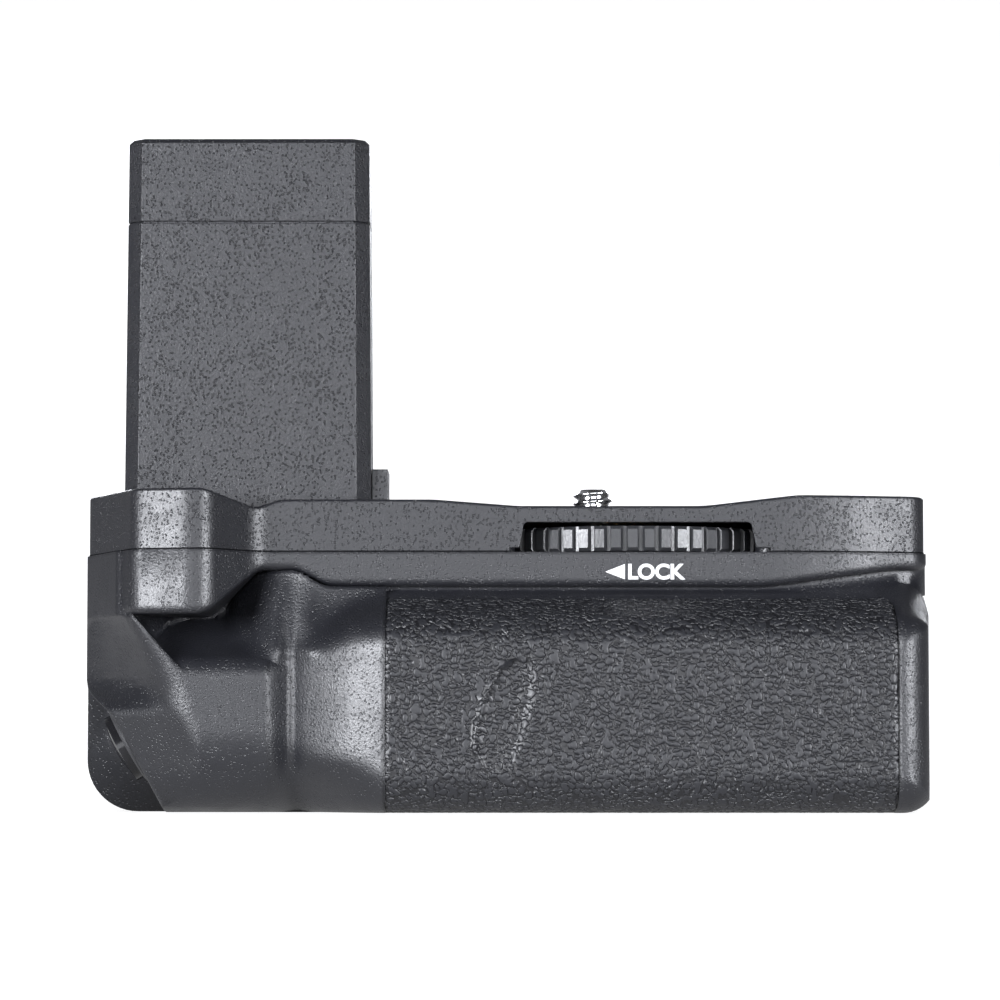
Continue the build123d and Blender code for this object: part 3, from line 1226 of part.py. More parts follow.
def battery_door():
    """Door cut from the same outer form as the end face, with two knuckles on its back edge."""
    panel = door_outline(0.0, DOOR_INNER_X, FAR) & right_body()
    panel = panel & box(-FAR, FAR, -FAR, DOOR_BACK_Y - 0.2, 0, FAR)
    for z0, z1 in knuckle_heights():
        panel += rod(HINGE_X, HINGE_Y, z0, z1, KNUCKLE_RADIUS)
        panel += box(DOOR_INNER_X, HINGE_X + KNUCKLE_RADIUS - 0.4, DOOR_BACK_Y - 1.0, HINGE_Y, z0, z1)
    panel -= rod(HINGE_X, HINGE_Y, 0, SEAM_Z, HINGE_PIN_RADIUS + RUNNING_GAP)
    half = LATCH_HEIGHT / 2
    middle = LATCH_Y
    reach = LATCH_KNOB_LENGTH / 2
    panel -= box(
        RIGHT_X - LATCH_DISH, FAR, middle - reach - PANEL_GAP, middle + reach + LATCH_TRAVEL + PANEL_GAP,
        LATCH_Z - half - PANEL_GAP, LATCH_Z + half + PANEL_GAP)
    panel -= box(
        DOOR_INNER_X - 1.0, FAR, middle - 1.5 - PANEL_GAP, middle + 1.5 + LATCH_TRAVEL + PANEL_GAP,
        LATCH_Z - 1.5 - PANEL_GAP, LATCH_Z + 1.5 + PANEL_GAP)
    return panel


def door_latch():
    """Slide latch: ribbed knob outside, neck through the door and a tongue behind the frame."""
    half = LATCH_HEIGHT / 2
    middle = LATCH_Y
    reach = LATCH_KNOB_LENGTH / 2
    knob = box(
        RIGHT_X - LATCH_DISH + 0.05, RIGHT_X, middle - reach, middle + reach,
        LATCH_Z - half, LATCH_Z + half)
    for i in range(4):
        y = middle - 1.8 + i * 1.2
        knob -= box(RIGHT_X - 0.25, FAR, y - 0.25, y + 0.25, LATCH_Z - half + 0.8, LATCH_Z + half - 0.8)
    neck = box(DOOR_INNER_X - 0.3, RIGHT_X - 0.5, middle - 1.5, middle + 1.5, LATCH_Z - 1.5, LATCH_Z + 1.5)
    plate_x = DOOR_FRAME_X - PANEL_GAP
    plate = box(
        plate_x - LATCH_PLATE, plate_x, BAY_FRONT_Y - LATCH_TONGUE, middle + reach,
        LATCH_Z - half + PANEL_GAP, LATCH_Z + half - PANEL_GAP)
    neck += box(plate_x - 0.1, DOOR_INNER_X, middle - 1.5, middle + 1.5, LATCH_Z - 1.5, LATCH_Z + 1.5)
    return knob + neck + plate


def latch_spring():
    """Bent leaf spring behind the latch plate."""
    middle = LATCH_Y
    start = middle + LATCH_KNOB_LENGTH / 2 + FIT_GAP
    x = DOOR_INNER_X - 0.3
    bow = rounded_face([
        (x, start, 0.0),
        (x - 1.2, start, 0.3),
        (x - 0.4, start + 2.6, 0.3),
        (x - 1.2, start + 5.2, 0.3),
        (x, start + 7.0, 0.0),
        (x + 0.25, start + 7.0, 0.0),
    ], Plane.XY.offset(LATCH_Z - 1.5))
    return extrude(bow, 3.0)


def door_hinge_pin():
    """Steel pin through the three knuckles."""
    z0 = knuckle_heights()[0][0] - 1.6
    z1 = knuckle_heights()[1][1] + 1.6
    return rod(HINGE_X, HINGE_Y, z0, z1, HINGE_PIN_RADIUS - PILOT_CLEARANCE / 2)


def door_pad():
    """Foam strip inside the door that holds the packs."""
    return rounded_plate(
        BAY_FRONT_Y + 20.2, BAY_BACK_Y - 4.6, BAY_LOW_Z + 2.0, BAY_TOP_Z - 2.0,
        DOOR_INNER_X - DOOR_PAD_THICKNESS, DOOR_INNER_X, 1.5)


def main_board():
    """Printed board on its four posts."""
    x0, x1, z0, z1 = BOARD
    back = BACK_Y - WALL - BOARD_POST
    board = box(x0, x1, back - BOARD_THICKNESS, back, z0, z1)
    for x, z in board_places():
        board -= Pos(x, back, z) * Rot(90, 0, 0) * Cylinder(SMALL_SHANK_RADIUS + SHANK_CLEARANCE, 10.0)
    return board


def board_parts():
    """Chips, a coil and a capacitor on the main board."""
    front = BACK_Y - WALL - BOARD_POST - BOARD_THICKNESS
    parts = []
    for inward, z, width, height, thick in (
            (20.0, 20.0, 7.0, 7.0, 1.0), (9.0, 15.0, 5.0, 4.0, 1.5), (20.0, 11.0, 4.0, 3.0, 1.2),
            (9.0, 24.0, 6.0, 6.0, 3.0)):
        x = BOARD_RIGHT_X - inward
        parts.append(box(x - width / 2, x + width / 2, front - thick, front, z - height / 2, z + height / 2))
    parts.append(Pos(BOARD_RIGHT_X - 18.0, front - 3.0, 28.0) * Rot(90, 0, 0) * Cylinder(2.5, 6.0))
    return parts


def board_screws():
    """Four screws of the main board."""
    front = BACK_Y - WALL - BOARD_POST - BOARD_THICKNESS
    screw = Rot(90, 0, 0) * small_screw(0, 0, 0, 4.6, 1)
    return [Pos(x, front - SMALL_HEAD_HEIGHT, z) * screw for x, z in board_places()]


def switch_body():
    """Slide switch on the main board, behind the power knob."""
    back = BACK_Y - WALL
    return box(SWITCH_X - 4.5, SWITCH_X + 4.5 + SWITCH_TRAVEL, back - BOARD_POST, back - 0.8,
               SWITCH_Z - 2.5, SWITCH_Z + 2.5)


def power_knob():
    """Power knob: ribbed cap in its dish and the peg that moves the switch."""
    half = KNOB_LENGTH / 2
    tall = KNOB_HEIGHT / 2
    low = BACK_Y - KNOB_DISH + RUNNING_GAP
    knob = box(SWITCH_X - half, SWITCH_X + half, low, BACK_Y, SWITCH_Z - tall, SWITCH_Z + tall)
    for i in range(4):
        x = SWITCH_X - 1.8 + i * 1.2
        knob -= box(x - 0.25, x + 0.25, BACK_Y - 0.3, FAR, SWITCH_Z - tall + 0.6, SWITCH_Z + tall - 0.6)
    peg = box(SWITCH_X - 1.2, SWITCH_X + 1.2, BACK_Y - WALL - 0.7, low + 0.2, SWITCH_Z - 1.0, SWITCH_Z + 1.0)
    return knob + peg


def status_lamp():
    """Light pipe of the status lamp, from the board to the back wall."""
    low = BACK_Y - WALL - BOARD_POST
    pipe = Cylinder(LAMP_RADIUS, BACK_Y - low - 0.1, align=(Align.CENTER, Align.CENTER, Align.MIN))
    return Pos(LAMP_X, low, SWITCH_Z) * Rot(-90, 0, 0) * pipe


def remote_jack():
    """Socket for a 2.5 mm remote release plug."""
    barrel = Pos(LEFT_X + 0.2, JACK_Y, JACK_Z) * Rot(0, 90, 0)
    jack = barrel * Cylinder(JACK_BARREL_RADIUS, WALL + 0.4, align=(Align.CENTER, Align.CENTER, Align.MIN))
    case = box(LEFT_X + WALL + FIT_GAP, LEFT_X + WALL + JACK_BORE_DEPTH + 1.0,
               JACK_Y - 3.0, JACK_Y + 3.0, JACK_Z - 3.0, JACK_Z + 3.0)
    jack += case
    bore = barrel * Cylinder(JACK_BORE_RADIUS, JACK_BORE_DEPTH, align=(Align.CENTER, Align.CENTER, Align.MIN))
    return jack - bore


def tripod_bush():
    """Threaded metal bush of the tripod socket."""
    bush = rod(0, 0, 0, SOCKET_DEPTH + 1.0, BUSH_RADIUS)
    bush += rod(0, 0, 0, BUSH_FLANGE, BUSH_FLANGE_RADIUS)
    return bush - rod(0, 0, -1.0, SOCKET_DEPTH, SOCKET_RADIUS)


def foot_pad(span):
    """Rubber foot let into the base between two places along the grip."""
    x0, x1 = span
    return rounded_block(x0, x1, FOOT_FRONT_Y, FOOT_BACK_Y, 0, FOOT_DEPTH, 3.0)


def thumb_pad():
    """Leatherette pad for the thumb, let into the back."""
    return thumb_pad_block(0.0, BACK_Y - THUMB_PAD_DEPTH, BACK_Y + THUMB_PAD_PROUD)


NODES = {
    "lower_housing": lower_housing,
    "upper_housing": upper_housing,
    "stem_housing": stem_housing,
    "stem_cap": stem_cap,
    "stem_contacts": stem_contacts,
    "grip_cover": grip_cover,
    "thumb_pad": thumb_pad,
    "deck_pad": deck_pad,
    "left_foot_pad": lambda: foot_pad(LEFT_FOOT_X),
    "right_foot_pad": lambda: foot_pad(RIGHT_FOOT_X),
    "tripod_bush": tripod_bush,
    "lock_wheel": lock_wheel,
    "wheel_hub": wheel_hub,
    "chassis_plate": chassis_plate,
    "chassis_screws": chassis_screws,
    "tripod_screw": tripod_screw,
    "screw_gear": screw_gear,
    "screw_clip": screw_clip,
    "deck_screws": deck_screws,
    "stem_screws": stem_screws,
    "shutter_button": shutter_button,
    "shutter_collar": shutter_collar,
    "shutter_spring": shutter_spring,
    "shutter_switch": shutter_switch,
    "shutter_board": shutter_board,
    "shutter_holder": shutter_holder,
    "battery_bay": battery_bay,
    "contact_block": contact_block,
    "bay_contacts": bay_contacts,
    "eject_springs": eject_springs,
    "battery_door": battery_door,
    "door_hinge_pin": door_hinge_pin,
    "door_latch": door_latch,
    "latch_spring": latch_spring,
    "door_pad": door_pad,
    "main_board": main_board,
    "board_parts": board_parts,
    "board_screws": board_screws,
    "switch_body": switch_body,
    "power_knob": power_knob,
    "status_lamp": status_lamp,
    "remote_jack": remote_jack,
}

os.makedirs("parts", exist_ok=True)
for name, make in NODES.items():
    made = make()
    if isinstance(made, list):
        made = Compound(children=[solid for item in made for solid in item.solids()])
    export_step(made, "parts/" + name + ".step")
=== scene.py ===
import math

import bmesh
import bpy
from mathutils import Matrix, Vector, noise
from mathutils.bvhtree import BVHTree


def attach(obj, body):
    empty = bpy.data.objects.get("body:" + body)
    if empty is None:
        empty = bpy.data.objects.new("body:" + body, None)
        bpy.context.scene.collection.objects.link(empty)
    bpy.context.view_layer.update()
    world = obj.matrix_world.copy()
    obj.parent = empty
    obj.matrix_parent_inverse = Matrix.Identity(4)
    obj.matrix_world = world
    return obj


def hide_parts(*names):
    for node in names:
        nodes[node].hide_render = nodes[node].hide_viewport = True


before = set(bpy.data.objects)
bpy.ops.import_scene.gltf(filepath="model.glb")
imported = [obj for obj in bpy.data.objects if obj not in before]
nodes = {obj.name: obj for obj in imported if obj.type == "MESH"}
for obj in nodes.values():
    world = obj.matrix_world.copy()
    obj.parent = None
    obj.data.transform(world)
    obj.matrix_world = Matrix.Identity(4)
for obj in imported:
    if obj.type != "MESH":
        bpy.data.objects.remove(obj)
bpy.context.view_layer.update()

scene = bpy.context.scene

# The photographer's viewpoint: level with the lower part of the grip, a little over 60 cm away,
# tilted up so that the tall stem fits in the square picture.
EYE = (-0.0006, -0.621, 0.0076)
VIEW_TILT = 3.81
LENS = 142.0
SENSOR_WIDTH = 36.0
PICTURE_SHIFT_X = -0.005
camera_data = bpy.data.cameras.new("camera")
camera_data.lens = LENS
camera_data.sensor_width = SENSOR_WIDTH
camera_data.shift_x = PICTURE_SHIFT_X
camera_data.clip_start = 0.01
camera_data.clip_end = 50.0
camera = bpy.data.objects.new("camera", camera_data)
camera.location = EYE
camera.rotation_euler = (math.radians(90.0 + VIEW_TILT), 0.0, 0.0)
scene.collection.objects.link(camera)
scene.camera = camera
scene.view_settings.view_transform = "Standard"


# Studio table and backdrop: one pale sheet that curves up behind the object. Seen directly it is white, as
# in the picture, with the soft shadow on it. Mirrored in gloss it is dim, with a glow only near the grip.
FLOOR_SIZE = 4.0
COVE_START_Y = 0.9
COVE_RADIUS = 0.8
COVE_STEPS = 24
WALL_HEIGHT = 2.0
PAPER_GREY = (0.30, 0.30, 0.31, 1.0)
PAPER_SEEN = (0.86, 0.86, 0.86, 1.0)
TABLE_GLOW = 0.42
FAR_GLOW = 0.10
GLOW_REACH = (0.25, 0.6)


def verts_of(geometry):
    """The vertices among an operator's results."""
    return [item for item in geometry if isinstance(item, bmesh.types.BMVert)]


def edges_of(geometry):
    """The edges among an operator's results."""
    return [item for item in geometry if isinstance(item, bmesh.types.BMEdge)]


def link_piece(name, mesh_source, smooth_angle=None):
    """Turns a bmesh into an object at the origin."""
    mesh = bpy.data.meshes.new(name)
    mesh_source.to_mesh(mesh)
    mesh_source.free()
    piece = bpy.data.objects.new(name, mesh)
    scene.collection.objects.link(piece)
    if smooth_angle is not None:
        mesh.shade_smooth()
        mesh.set_sharp_from_angle(angle=math.radians(smooth_angle))
    return piece


def new_material(name, color, roughness, specular=0.5, metallic=0.0):
    """A Principled material whose constants sit on the shader's own sockets."""
    material = bpy.data.materials.new(name)
    material.use_nodes = True
    tree = material.node_tree
    shader = tree.nodes["Principled BSDF"]
    shader.inputs["Base Color"].default_value = color
    shader.inputs["Roughness"].default_value = roughness
    shader.inputs["Specular IOR Level"].default_value = specular
    shader.inputs["Metallic"].default_value = metallic
    return material, tree, shader


def remap(tree, value, low, high, to_low=0.0, to_high=1.0):
    """A clamped, smooth change of range."""
    ranger = tree.nodes.new("ShaderNodeMapRange")
    ranger.interpolation_type = "SMOOTHSTEP"
    ranger.inputs["From Min"].default_value = low
    ranger.inputs["From Max"].default_value = high
    ranger.inputs["To Min"].default_value = to_low
    ranger.inputs["To Max"].default_value = to_high
    tree.links.new(value, ranger.inputs["Value"])
    return ranger.outputs["Result"]


def math_node(tree, operation, first, second):
    """One step of arithmetic; a plain number may stand for either input."""
    step = tree.nodes.new("ShaderNodeMath")
    step.operation = operation
    for socket, value in zip(step.inputs, (first, second)):
        if isinstance(value, (int, float)):
            socket.default_value = value
        else:
            tree.links.new(value, socket)
    return step.outputs[0]


def mix_color(tree, factor, first, second):
    """A mix of two colours by a mask."""
    mixer = tree.nodes.new("ShaderNodeMix")
    mixer.data_type = "RGBA"
    for label, value in (("A", first), ("B", second)):
        if isinstance(value, tuple):
            mixer.inputs[label].default_value = value
        else:
            tree.links.new(value, mixer.inputs[label])
    tree.links.new(factor, mixer.inputs["Factor"])
    return mixer.outputs["Result"]


sheet = bmesh.new()
edge_left = sheet.verts.new((-FLOOR_SIZE / 2, -FLOOR_SIZE / 2, 0.0))
edge_right = sheet.verts.new((FLOOR_SIZE / 2, -FLOOR_SIZE / 2, 0.0))
front_edge = sheet.edges.new((edge_left, edge_right))
grown = bmesh.ops.extrude_edge_only(sheet, edges=[front_edge])["geom"]
bmesh.ops.translate(sheet, verts=verts_of(grown), vec=(0.0, COVE_START_Y + FLOOR_SIZE / 2, 0.0))
rear_edge = edges_of(grown)
swept = bmesh.ops.spin(
    sheet, geom=rear_edge + list({v for e in rear_edge for v in e.verts}),
    cent=(0.0, COVE_START_Y, COVE_RADIUS), axis=(1.0, 0.0, 0.0), angle=math.radians(90.0),
    steps=COVE_STEPS)
grown = bmesh.ops.extrude_edge_only(sheet, edges=edges_of(swept["geom_last"]))["geom"]
bmesh.ops.translate(sheet, verts=verts_of(grown), vec=(0.0, 0.0, WALL_HEIGHT))
bmesh.ops.recalc_face_normals(sheet, faces=sheet.faces[:])
backdrop = link_piece("backdrop", sheet, 80.0)
paper, tree, shader = new_material("studio_paper", PAPER_GREY, 0.9, specular=0.1)
place = tree.nodes.new("ShaderNodeTexCoord")
reach = tree.nodes.new("ShaderNodeVectorMath")
reach.operation = "LENGTH"
tree.links.new(place.outputs["Object"], reach.inputs[0])
glow = remap(tree, reach.outputs["Value"], *GLOW_REACH, TABLE_GLOW, FAR_GLOW)
light_path = tree.nodes.new("ShaderNodeLightPath")
mirrored = math_node(
    tree, "MAXIMUM", light_path.outputs["Is Glossy Ray"], light_path.outputs["Is Transmission Ray"])
glow = math_node(tree, "MULTIPLY", glow, mirrored)
lift = mix_color(tree, light_path.outputs["Is Camera Ray"], glow, PAPER_SEEN)
tree.links.new(lift, shader.inputs["Emission Color"])
shader.inputs["Emission Strength"].default_value = 1.0
backdrop.data.materials.append(paper)


# Lights: two large soft boxes low at the sides, as the bright left and right tilts of the body show, a
# weak wide one in front and two weak ones behind. The dim even surround is white only where it is seen.
BOX_COLOR = (0.93, 0.95, 1.0)
LAMP_AIM = Vector((0.0, 0.0, 0.04))
SURROUND = (0.07, 0.07, 0.07, 1.0)
OPEN_WHITE = (0.95, 0.95, 0.95, 1.0)


def soft_box(name, azimuth, elevation, distance, width, height, watts):
    """An area lamp that looks at the middle of the grip."""
    lamp = bpy.data.lights.new(name, "AREA")
    lamp.shape = "RECTANGLE"
    lamp.size = width
    lamp.size_y = height
    lamp.energy = watts
    lamp.color = BOX_COLOR
    holder = bpy.data.objects.new(name, lamp)
    turn = math.radians(azimuth)
    rise = math.radians(elevation)
    away = Vector((math.sin(turn) * math.cos(rise), -math.cos(turn) * math.cos(rise), math.sin(rise)))
    holder.location = LAMP_AIM + away * distance
    holder.rotation_euler = away.to_track_quat("Z", "Y").to_euler()
    holder.visible_camera = False
    scene.collection.objects.link(holder)


soft_box("left_box", -44.0, 4.0, 1.3, 0.5, 0.55, 31.0)
soft_box("right_box", 43.0, 4.0, 1.3, 0.45, 0.55, 22.0)
soft_box("front_box", 2.0, 7.0, 1.7, 1.0, 0.8, 8.5)
soft_box("back_left_box", -166.0, 12.0, 1.6, 0.45, 0.5, 9.0)
soft_box("back_right_box", 166.0, 12.0, 1.6, 0.45, 0.5, 9.0)
world = bpy.data.worlds.new("surround")
world.use_nodes = True
surround = world.node_tree
surround.nodes["Background"].inputs["Strength"].default_value = 1.0
light_path = surround.nodes.new("ShaderNodeLightPath")
open_view = mix_color(surround, light_path.outputs["Is Camera Ray"], SURROUND, OPEN_WHITE)
surround.links.new(open_view, surround.nodes["Background"].inputs["Color"])
scene.world = world


# Lower housing: the moulded tub of the grip, in black ABS with a spark-eroded grain. The grain has
# fine peaks all over and small irregular pits, which gather in patches. Its creases are softened.
FINE_SCALE = 3200.0
PATCH_SCALE = 190.0
PATCH_RANGE = (0.40, 0.62)
PATCH_PIT_GAIN = 0.13
PIT_SCALE = 1900.0
PIT_RANGE = (0.10, 0.30)
WANDER_SCALE = 1500.0
WANDER_REACH = 0.00022
GRAIN_DEPTH = 0.00012
BODY_BLACK = (0.0125, 0.013, 0.0165, 1.0)
# Painted shade: the hollows of the pits are coloured darker than the body.
PIT_SHADE_BLACK = (0.007, 0.007, 0.009, 1.0)
BODY_ROUGHNESS = 0.38
CREASE_ANGLE = 32.0
WELD_REACH = 0.000002


def new_group(name, inputs, outputs):
    """A shader node group with float inputs and float outputs."""
    group = bpy.data.node_groups.new(name, "ShaderNodeTree")
    for label, value in inputs:
        socket = group.interface.new_socket(label, in_out="INPUT", socket_type="NodeSocketFloat")
        socket.default_value = value
    for label in outputs:
        group.interface.new_socket(label, in_out="OUTPUT", socket_type="NodeSocketFloat")
    return group, group.nodes.new("NodeGroupInput"), group.nodes.new("NodeGroupOutput")


def noise_node(tree, scale, detail=2.0, rough=0.5):
    """A noise texture on Object coordinates."""
    texture = tree.nodes.new("ShaderNodeTexNoise")
    texture.inputs["Scale"].default_value = scale
    texture.inputs["Detail"].default_value = detail
    texture.inputs["Roughness"].default_value = rough
    place = tree.nodes.new("ShaderNodeTexCoord")
    tree.links.new(place.outputs["Object"], texture.inputs["Vector"])
    return texture


grain_group, grain_in, grain_out = new_group(
    "moulded_grain", [("Pit Amount", 1.0), ("Grain Amount", 1.0)], ["Height", "Pits", "Patches"])
fine = noise_node(grain_group, FINE_SCALE, 2.0, 0.6).outputs["Fac"]
patches = remap(grain_group, noise_node(grain_group, PATCH_SCALE).outputs["Fac"], *PATCH_RANGE)
wander = noise_node(grain_group, WANDER_SCALE, 1.0)
grain_place = grain_group.nodes.new("ShaderNodeTexCoord")
shift = grain_group.nodes.new("ShaderNodeVectorMath")
shift.operation = "MULTIPLY_ADD"
shift.inputs[1].default_value = (WANDER_REACH, WANDER_REACH, WANDER_REACH)
grain_group.links.new(wander.outputs["Color"], shift.inputs[0])
grain_group.links.new(grain_place.outputs["Object"], shift.inputs[2])
cells = grain_group.nodes.new("ShaderNodeTexVoronoi")
cells.inputs["Scale"].default_value = PIT_SCALE
grain_group.links.new(shift.outputs["Vector"], cells.inputs["Vector"])
rim = math_node(grain_group, "SUBTRACT", cells.outputs["Distance"],
                math_node(grain_group, "MULTIPLY", patches, PATCH_PIT_GAIN))
pits = remap(grain_group, rim, *PIT_RANGE, 1.0, 0.0)
pits = math_node(grain_group, "MULTIPLY", pits, grain_in.outputs["Pit Amount"])
peaks = math_node(grain_group, "MULTIPLY", fine, grain_in.outputs["Grain Amount"])
height = math_node(grain_group, "SUBTRACT", peaks, pits)
grain_group.links.new(height, grain_out.inputs["Height"])
grain_group.links.new(pits, grain_out.inputs["Pits"])
grain_group.links.new(patches, grain_out.inputs["Patches"])


def add_bump(tree, shader, height, strength, distance, soft_edge=0.0):
    """A bump from a height, into the shader's normal, over creases softened by a radius."""
    bump = tree.nodes.new("ShaderNodeBump")
    bump.inputs["Strength"].default_value = strength
    bump.inputs["Distance"].default_value = distance
    tree.links.new(height, bump.inputs["Height"])
    tree.links.new(bump.outputs["Normal"], shader.inputs["Normal"])
    if soft_edge:
        rounding = tree.nodes.new("ShaderNodeBevel")
        rounding.samples = 4
        rounding.inputs["Radius"].default_value = soft_edge
        tree.links.new(rounding.outputs["Normal"], bump.inputs["Normal"])


def moulded_plastic(name, pit_amount, grain_amount, soft_edge, roughness=BODY_ROUGHNESS):
    """Black moulded plastic with the shared grain, and painted shade that darkens its pits."""
    material, tree, shader = new_material(name, BODY_BLACK, roughness, specular=0.8)
    grain = tree.nodes.new("ShaderNodeGroup")
    grain.node_tree = grain_group
    grain.inputs["Pit Amount"].default_value = pit_amount
    grain.inputs["Grain Amount"].default_value = grain_amount
    # Painted shade: the base colour darkens inside the pits, on top of their bump.
    pit_shade_tone = mix_color(tree, grain.outputs["Pits"], BODY_BLACK, PIT_SHADE_BLACK)
    tree.links.new(pit_shade_tone, shader.inputs["Base Color"])
    gloss = remap(tree, grain.outputs["Patches"], 0.0, 1.0, roughness - 0.02, roughness + 0.03)
    tree.links.new(gloss, shader.inputs["Roughness"])
    add_bump(tree, shader, grain.outputs["Height"], 1.0, GRAIN_DEPTH, soft_edge)
    return material


def dress(names, material):
    """Gives CAD nodes their material."""
    for name in names:
        piece = nodes[name]
        for slot in piece.material_slots:
            slot.material = material
        if not piece.material_slots:
            piece.data.materials.append(material)


def merged_copy(node):
    """The mesh of a CAD node as one welded skin, in the scene's frame."""
    skin = bmesh.new()
    skin.from_mesh(nodes[node].data)
    bmesh.ops.transform(skin, matrix=nodes[node].matrix_world, verts=skin.verts)
    bmesh.ops.remove_doubles(skin, verts=skin.verts, dist=WELD_REACH)
    return skin


body_plastic = moulded_plastic("body_plastic", pit_amount=0.4, grain_amount=0.5, soft_edge=0.0008)
housing_skin = merged_copy("lower_housing")
housing_faces = BVHTree.FromBMesh(housing_skin)
housing_shell = link_piece("housing_shell", housing_skin, CREASE_ANGLE)
housing_shell.data.materials.append(body_plastic)
evener = housing_shell.modifiers.new("even_shading", "WEIGHTED_NORMAL")
evener.keep_sharp = True
evener.weight = 70
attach(housing_shell, "housing")
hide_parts("lower_housing")


# Swell shoulder: the soft fullness of the same moulding between the finger hump, the recess below the
# boss and the cover. It is laid over the front of the tub as one thick skin that runs out into it.
MM = 0.001
IN_MM = 1000.0
SHOULDER_X = (-45.5, -18.75)
SHOULDER_CELLS = (90, 100)
SHOULDER_LOW_Z = 1.5
SHOULDER_WALL = 0.0012
EDGE_GAP = 0.12
PROBE_Z = 20.0
FULL_FADE_Z = (2.0, 9.0)
FULL_FADE_X = (-33.8, -33.2)
BAND_EDGE_Y = -17.8
RECESS_TOP_Y = -11.5
RECESS_TURN_X = (-44.5, -32.5)
RECESS_LEAN = 0.5
LEAST_LEAN = 0.1
LEAN_FOOT_Z = 24.0
FOOT_FALL = 1.5
COLUMN_FADE_X = (-45.5, -42.0)
COLUMN_SET_BACK = 8.0
BLEND_REACH = 2.0
HIDDEN_DEPTH = 0.05
HIDDEN_RANGE = 0.15
SMOOTH_TURNS = 8
OVERHANG_Z = (24.0, 38.0)
OVERHANG_STEP = 0.1
OVERHANG_JUMP = 0.6
FULL_PROFILE = ((-33.2, -21.1), (-32.2, -22.0), (-31.2, -22.8), (-30.0, -23.6), (-28.0, -24.85),
                (-26.0, -26.0), (-24.0, -27.0), (-22.0, -27.8), (-20.0, -28.5), (-18.75, -28.9))


def read_table(table, at):
    """Straight-line reading of a table of (place, value)."""
    if at <= table[0][0]:
        return table[0][1]
    for (low, first), (high, second) in zip(table, table[1:]):
        if at <= high:
            return first + (second - first) * (at - low) / (high - low)
    return table[-1][1]


def smooth_step(value, low, high):
    """0 below low, 1 above high, smooth between."""
    share = min(1.0, max(0.0, (value - low) / (high - low)))
    return share * share * (3.0 - 2.0 * share)


def soft_lower(first, second, reach):
    """The lower of two values, with a rounded change from one to the other."""
    share = max(reach - abs(first - second), 0.0) / reach
    return min(first, second) - share * share * reach * 0.25


def tub_front(x, z):
    """Where the tub's front is at a place, in millimetres."""
    hit = housing_faces.ray_cast(Vector((x, -80.0, z)) * MM, Vector((0.0, 1.0, 0.0)))[0]
    return hit.y * IN_MM if hit else 0.0


def overhang_height(x):
    """Height of the lower edge of the boss or band above the recess."""
    z = OVERHANG_Z[0]
    deepest = tub_front(x, z)
    while z < OVERHANG_Z[1]:
        z += OVERHANG_STEP
        here = tub_front(x, z)
        if here < deepest - OVERHANG_JUMP:
            return z
        deepest = max(deepest, here)
    return z


def shoulder_depth(x, z, edge_z):
    """Where the skin's front lies: the full swell, cut back by the slope that leans under the boss."""
    front = tub_front(x, z)
    low_front = tub_front(x, PROBE_Z)
    fullness = min(0.0, read_table(FULL_PROFILE, x) - low_front)
    full = fullness * smooth_step(z, *FULL_FADE_Z) * smooth_step(x, *FULL_FADE_X)
    base_y = low_front + fullness
    recess_y = RECESS_TOP_Y + (BAND_EDGE_Y - RECESS_TOP_Y) * smooth_step(x, *RECESS_TURN_X)
    lean = min(RECESS_LEAN, max(LEAST_LEAN, (recess_y - base_y) / (edge_z - LEAN_FOOT_Z)))
    lean_y = recess_y - (edge_z - max(z, LEAN_FOOT_Z)) * lean + FOOT_FALL * max(0.0, LEAN_FOOT_Z - z)
    lean_y += COLUMN_SET_BACK * (1.0 - smooth_step(x, *COLUMN_FADE_X))
    y = soft_lower(front + full, lean_y, BLEND_REACH)
    return y + HIDDEN_DEPTH * (1.0 - smooth_step(front - y, 0.0, HIDDEN_RANGE))


shoulder = bmesh.new()
bmesh.ops.create_grid(shoulder, x_segments=SHOULDER_CELLS[0], y_segments=SHOULDER_CELLS[1], size=0.5)
overhangs = {}
for vert in shoulder.verts:
    across = round(vert.co.x + 0.5, 5)
    x = SHOULDER_X[0] + across * (SHOULDER_X[1] - SHOULDER_X[0])
    if across not in overhangs:
        overhangs[across] = overhang_height(x)
    edge_z = overhangs[across]
    z = SHOULDER_LOW_Z + (vert.co.y + 0.5) * (edge_z - EDGE_GAP - SHOULDER_LOW_Z)
    vert.co = Vector((x, shoulder_depth(x, z, edge_z), z)) * MM
for _ in range(SMOOTH_TURNS):
    bmesh.ops.smooth_vert(
        shoulder, verts=[v for v in shoulder.verts if not v.is_boundary], factor=0.5, use_axis_y=True)
bmesh.ops.recalc_face_normals(shoulder, faces=shoulder.faces[:])
if sum(face.normal.y for face in shoulder.faces) > 0.0:
    bmesh.ops.reverse_faces(shoulder, faces=shoulder.faces[:])
swell_shoulder = link_piece("swell_shoulder", shoulder, 60.0)
wall = swell_shoulder.modifiers.new("wall", "SOLIDIFY")
wall.thickness = SHOULDER_WALL
wall.offset = -1.0
swell_shoulder.data.materials.append(body_plastic)
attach(swell_shoulder, "housing")


# Upper housing: the shell with the deck, in the same grained black ABS, screwed down on the tub. A thin
# near-black strip in the seam between the two is painted shade for the seam's shadow and shows as a fine
# black line all round.
shell_plastic = moulded_plastic("shell_plastic", pit_amount=0.7, grain_amount=0.5, soft_edge=0.0003)
dress(["upper_housing"], shell_plastic)
SEAM_LOW = 0.03982
SEAM_HIGH = 0.04004
SHADOW_STRIP_PROUD = 0.00004
# Painted shade: near black and matte, for the shadow in the seam.
SEAM_SHADE_BLACK = (0.004, 0.004, 0.005, 1.0)
